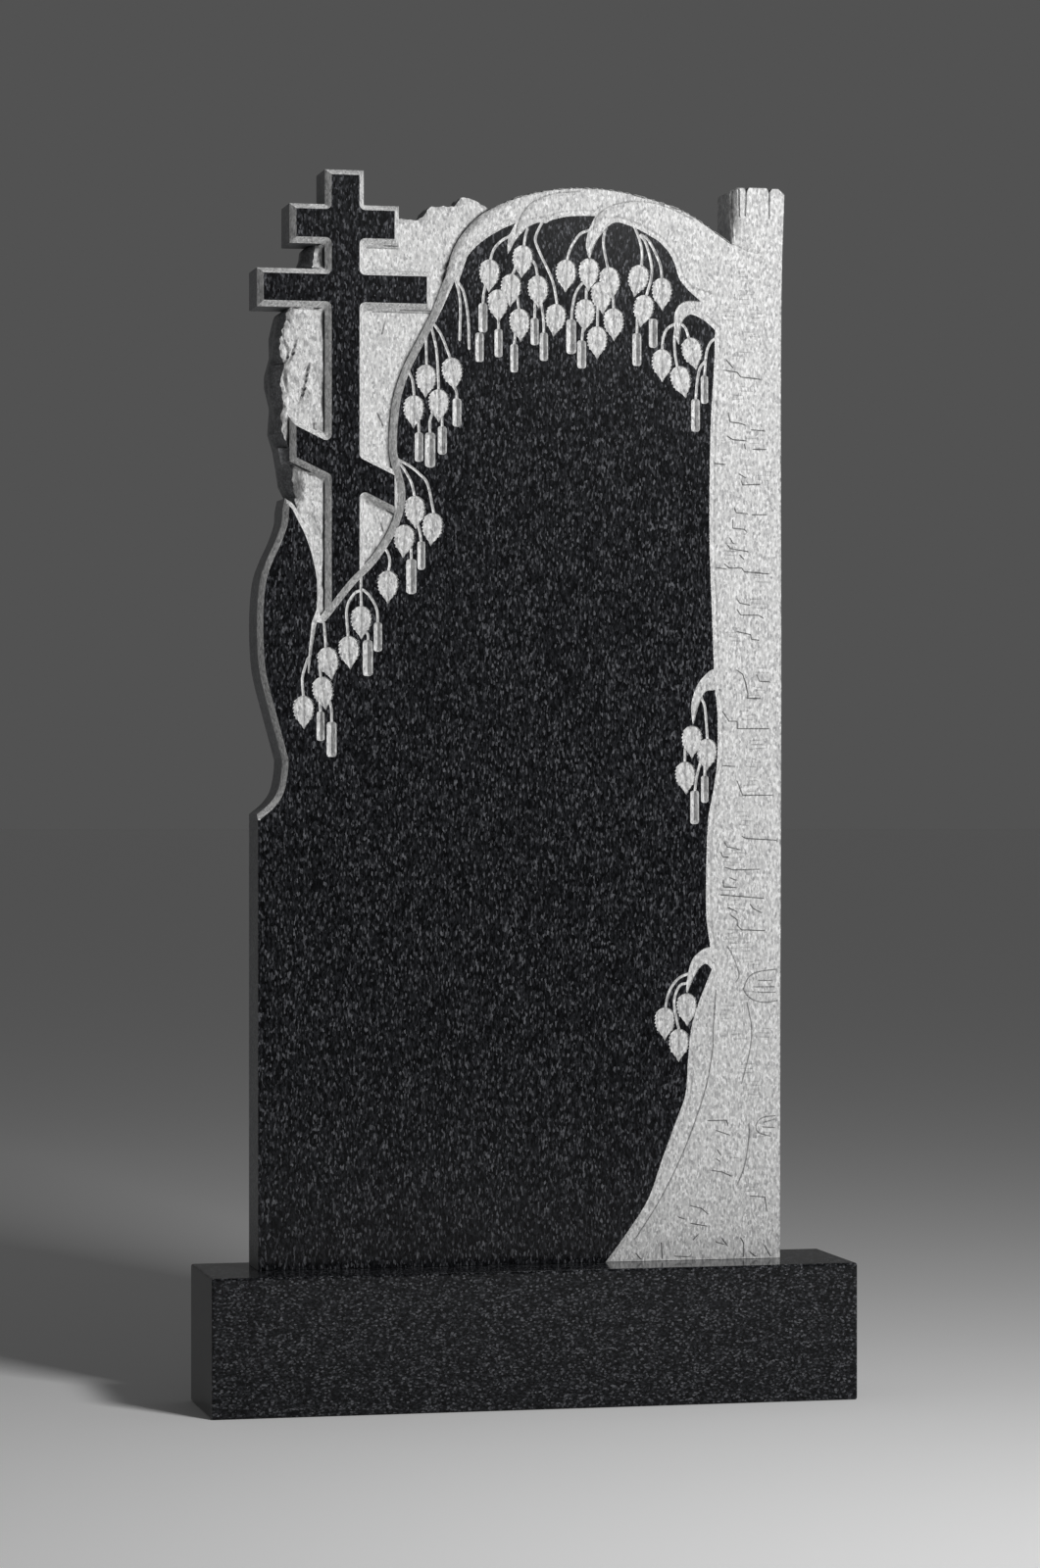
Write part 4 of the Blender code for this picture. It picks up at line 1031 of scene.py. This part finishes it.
def front_finishes(points, depth, faces):
    """The finish of each front triangle; corners of a polished one are set back to the polished face."""
    middles = points[faces].mean(axis=1)
    steep = np.ptp(depth[faces], axis=1) > STEEP_FALL
    carved = steep | (relief(middles)[0] > LEAST_CUT)
    depth[faces[~carved]] = 0.0
    low = depth[faces].max(axis=1) > CHAMFER_DEPTH + 0.5
    low &= (middles[:, 0] < STUMP_LEFT - 2.0) | (middles[:, 1] < STUMP_FOOT)
    walls = wall_faces(points, depth, faces) & low
    # Walls along the outlines of the fields and the cross take the near-black polished finish rather than the
    # grey rubbed one of the outer sides; part of their darkness is painted shade
    gaps = [distance(closed(outline), middles, 1.0)[0] for outline in (FIELDS, CROSS)]
    wall_finish = np.where(np.minimum(*gaps) < 0.9, FACE, SIDE)
    return np.where(walls, wall_finish, np.where(carved, CARVED, FACE))


def sides_and_back(points, depth, loop):
    """Corners of the sides, row behind row, then the faces of the sides and of the back."""
    rows = np.arange(1, SIDE_ROWS + 1) / SIDE_ROWS
    corners = []
    for share, out in zip(rows, side_shift(points[loop], rows)):
        level = depth[loop] + (SLAB_THICKNESS - depth[loop]) * share
        corners.append(np.column_stack([points[loop] + out, level]))
    ring = loop
    sides = []
    for row in range(SIDE_ROWS):
        below = len(points) + row * len(loop) + np.arange(len(loop))
        sides.extend(zip(np.roll(ring, -1), ring, below, np.roll(below, -1)))
        ring = below
    back = [tuple(ring[list(face)][::-1]) for face in back_faces(corners[-1][:, :2])]
    return np.vstack(corners), sides, back


def make_stele(materials):
    """The whole slab as one closed mesh: carved front, sides and sawn back."""
    points, faces = front_mesh()
    depth, shade_paint = relief(points)
    front_kinds = front_finishes(points, depth, faces)
    loop = border_loop(faces)
    behind, sides, back = sides_and_back(points, depth, loop)
    corners = np.vstack([np.column_stack([points, depth]), behind])
    spots = np.array(SLAB_LOW) + corners[:, [0, 2, 1]] * MM
    mesh = bpy.data.meshes.new("stele_relief")
    mesh.from_pydata(spots.tolist(), [], faces.tolist() + sides + back)
    on_stump = (np.abs(points[loop, 0] - STUMP_LEFT) < 0.5) & (points[loop, 1] > STUMP_FOOT)
    side_kinds = np.tile(np.where(on_stump & np.roll(on_stump, -1), CARVED, SIDE), SIDE_ROWS)
    kinds = np.concatenate([front_kinds, side_kinds, np.full(len(back), BACK)])
    mesh.polygons.foreach_set("material_index", kinds)
    for name in ("face", "carving", "side", "back"):
        mesh.materials.append(materials[name])
    # The painted shade is kept on the mesh as a point attribute, which the carved stone reads
    mesh.attributes.new("painted_shade", "FLOAT", "POINT")
    mesh.attributes["painted_shade"].data.foreach_set("value", np.append(shade_paint, np.zeros(len(behind))))
    mesh.shade_smooth()
    mesh.set_sharp_from_angle(angle=math.radians(SHARP_ANGLE))
    sharpen_between(mesh, kinds)
    mesh.update()
    stele = bpy.data.objects.new("stele_relief", mesh)
    bpy.context.scene.collection.objects.link(stele)
    return stele


def linear(hex_colour):
    """An sRGB hex colour as linear red, green, blue and alpha."""
    values = [int(hex_colour[i:i + 2], 16) / 255 for i in (1, 3, 5)]
    return [
        value / 12.92 if value <= 0.04045 else ((value + 0.055) / 1.055) ** 2.4
        for value in values
    ] + [1.0]


def add(tree, kind, inputs=None, **settings):
    """Adds a node with its settings; each input, by name or number, is a value or a node's output."""
    made = tree.nodes.new(kind)
    for name, value in settings.items():
        setattr(made, name, value)
    for name, value in (inputs or {}).items():
        if isinstance(value, bpy.types.NodeSocket):
            tree.links.new(value, made.inputs[name])
        else:
            made.inputs[name].default_value = value
    return made


def new_material(name, roughness, ior=GABBRO_IOR):
    """A stone with its own roughness and refraction; returns it, its nodes and its shader."""
    material = bpy.data.materials.new(name)
    material.use_nodes = True
    tree = material.node_tree
    shader = tree.nodes["Principled BSDF"]
    shader.inputs["Roughness"].default_value = roughness
    shader.inputs["IOR"].default_value = ior
    return material, tree, shader


def stretched(tree, width, height):
    """Places on the stone, scaled so that one unit is a grain of a real width and height."""
    place = add(tree, "ShaderNodeTexCoord")
    scale = (1.0 / (width * MM), 1.0 / (width * MM), 1.0 / (height * MM))
    return add(tree, "ShaderNodeMapping", {"Vector": place.outputs["Object"], "Scale": scale}).outputs[0]


def ramp(tree, value, stops):
    """A colour for each value, from a list of value and hex colour."""
    made = add(tree, "ShaderNodeValToRGB", {"Fac": value})
    band = made.color_ramp
    while len(band.elements) < len(stops):
        band.elements.new(0.5)
    for element, (position, colour) in zip(band.elements, stops):
        element.position = position
        element.color = linear(colour)
    return made.outputs["Color"]


def polished_gabbro(name, grain_size, roughness, flecks):
    """Polished gabbro: nearly black, with small grey felspar flecks under a hard gloss."""
    material, tree, shader = new_material(name, roughness)
    shader.inputs["Specular IOR Level"].default_value = 0.14
    grain = stretched(tree, *grain_size)
    cells = add(tree, "ShaderNodeTexVoronoi", {"Vector": grain, "Scale": 1.0, "Randomness": 1.0})
    soft_grain = {"Vector": grain, "Scale": 0.8, "Detail": 3.0, "Roughness": 0.6}
    cloud = add(tree, "ShaderNodeTexNoise", soft_grain)
    mixed = add(tree, "ShaderNodeMix", {0: 0.5, 2: cells.outputs["Color"], 3: cloud.outputs[0]})
    tree.links.new(ramp(tree, mixed.outputs[0], flecks), shader.inputs["Base Color"])
    return material


def carved_gabbro():
    """Pointed and rubbed gabbro: the bruised grains scatter light, so the same stone turns pale grey."""
    material, tree, shader = new_material("carved_gabbro", 0.8)
    grain = stretched(tree, *CARVED_GRAIN)
    cells = add(tree, "ShaderNodeTexVoronoi", {"Vector": grain, "Scale": 1.0, "Randomness": 1.0})
    soft_grain = {"Vector": grain, "Scale": 0.7, "Detail": 4.0, "Roughness": 0.65}
    cloud = add(tree, "ShaderNodeTexNoise", soft_grain)
    mixed = add(tree, "ShaderNodeMix", {0: 0.6, 2: cells.outputs["Color"], 3: cloud.outputs[0]})
    bruised = ramp(tree, mixed.outputs[0], BRUISED_GRAINS)
    # Painted shade: the pale grains are mixed towards a dark grey in grooves, creases, hollows, on chamfers
    # facing left and at the feet of walls
    cut = add(tree, "ShaderNodeAttribute", attribute_name="painted_shade").outputs["Fac"]
    colour = add(tree, "ShaderNodeMix", {0: cut, 6: bruised, 7: linear(PAINTED_SHADE_GREY)}, data_type="RGBA")
    tree.links.new(colour.outputs[2], shader.inputs["Base Color"])
    pitted = {"Vector": stretched(tree, *PITS), "Scale": 1.0, "Detail": 3.0}
    pits = add(tree, "ShaderNodeTexNoise", pitted)
    bump = add(tree, "ShaderNodeBump", {"Height": pits.outputs[0], "Distance": 0.5 * MM, "Strength": 0.6})
    tree.links.new(bump.outputs[0], shader.inputs["Normal"])
    return material


def sawn_gabbro():
    """Sawn gabbro: matt mid grey with faint level saw marks, left as it came off the saw."""
    material, tree, shader = new_material("sawn_gabbro", 0.6)
    sawn = {"Vector": stretched(tree, *SAW_MARKS), "Scale": 1.0, "Detail": 3.0}
    marks = add(tree, "ShaderNodeTexNoise", sawn)
    tree.links.new(ramp(tree, marks.outputs[0], SAWN_GREYS), shader.inputs["Base Color"])
    bump = add(tree, "ShaderNodeBump", {"Height": marks.outputs[0], "Distance": 0.2 * MM, "Strength": 0.4})
    tree.links.new(bump.outputs[0], shader.inputs["Normal"])
    return material


def make_floor():
    """A wide pale floor."""
    mesh = bpy.data.meshes.new("floor")
    shape = bmesh.new()
    bmesh.ops.create_circle(shape, cap_ends=True, segments=96, radius=FLOOR_RADIUS)
    shape.to_mesh(mesh)
    shape.free()
    material, tree, shader = new_material("painted_floor", 0.9, 1.45)
    shader.inputs["Base Color"].default_value = linear(FLOOR_WHITE)
    shader.inputs["Specular IOR Level"].default_value = 0.1
    mesh.materials.append(material)
    floor = bpy.data.objects.new("floor", mesh)
    bpy.context.scene.collection.objects.link(floor)


def add_light(name, place, aim, size, watts):
    """A square soft light at a place, turned to what it lights."""
    light = bpy.data.lights.new(name, "AREA")
    light.size = size
    light.energy = watts
    lamp = bpy.data.objects.new(name, light)
    lamp.visible_camera = False
    lamp.location = place
    lamp.rotation_mode = "QUATERNION"
    lamp.rotation_quaternion = (Vector(aim) - Vector(place)).to_track_quat("-Z", "Y")
    bpy.context.scene.collection.objects.link(lamp)


def light_studio():
    """A key light on the right, as the floor's shadow asks for, a weak one behind, and a dim room."""
    add_light("key", KEY_PLACE, LIGHT_AIM, KEY_SIZE, KEY_WATTS)
    add_light("back", BACK_PLACE, LIGHT_AIM, BACK_SIZE, BACK_WATTS)
    world = bpy.data.worlds.new("dim_room")
    world.use_nodes = True
    world.node_tree.nodes["Background"].inputs["Color"].default_value = linear(ROOM_GREY)
    bpy.context.scene.world = world
    bpy.context.scene.view_settings.view_transform = "Standard"


def place_camera():
    """A long lens, held level, left of the middle and about 4.6 m in front."""
    lens = bpy.data.cameras.new("camera")
    lens.lens = CAMERA_LENS
    lens.sensor_width = 36.0
    camera = bpy.data.objects.new("camera", lens)
    camera.location = CAMERA_PLACE
    camera.rotation_euler = Euler((math.pi / 2, 0.0, -math.radians(CAMERA_TURN)))
    bpy.context.scene.collection.objects.link(camera)
    bpy.context.scene.camera = camera


def main():
    """Dresses the slab and the plinth, then sets up floor, light and camera."""
    materials = {
        "face": polished_gabbro("polished_gabbro", FACE_GRAIN, 0.2, FLECKS),
        "carving": carved_gabbro(),
        "side": polished_gabbro("rubbed_gabbro", RUBBED_GRAIN, 0.4, RUBBED_FLECKS),
        "back": sawn_gabbro(),
    }
    stele = make_stele(materials)
    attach(stele, "root")
    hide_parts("stele")
    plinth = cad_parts["plinth"]
    plinth_stone = polished_gabbro("polished_plinth_gabbro", PLINTH_GRAIN, 0.12, FLECKS)
    plinth.material_slots[0].material = plinth_stone
    make_floor()
    light_studio()
    place_camera()


main()
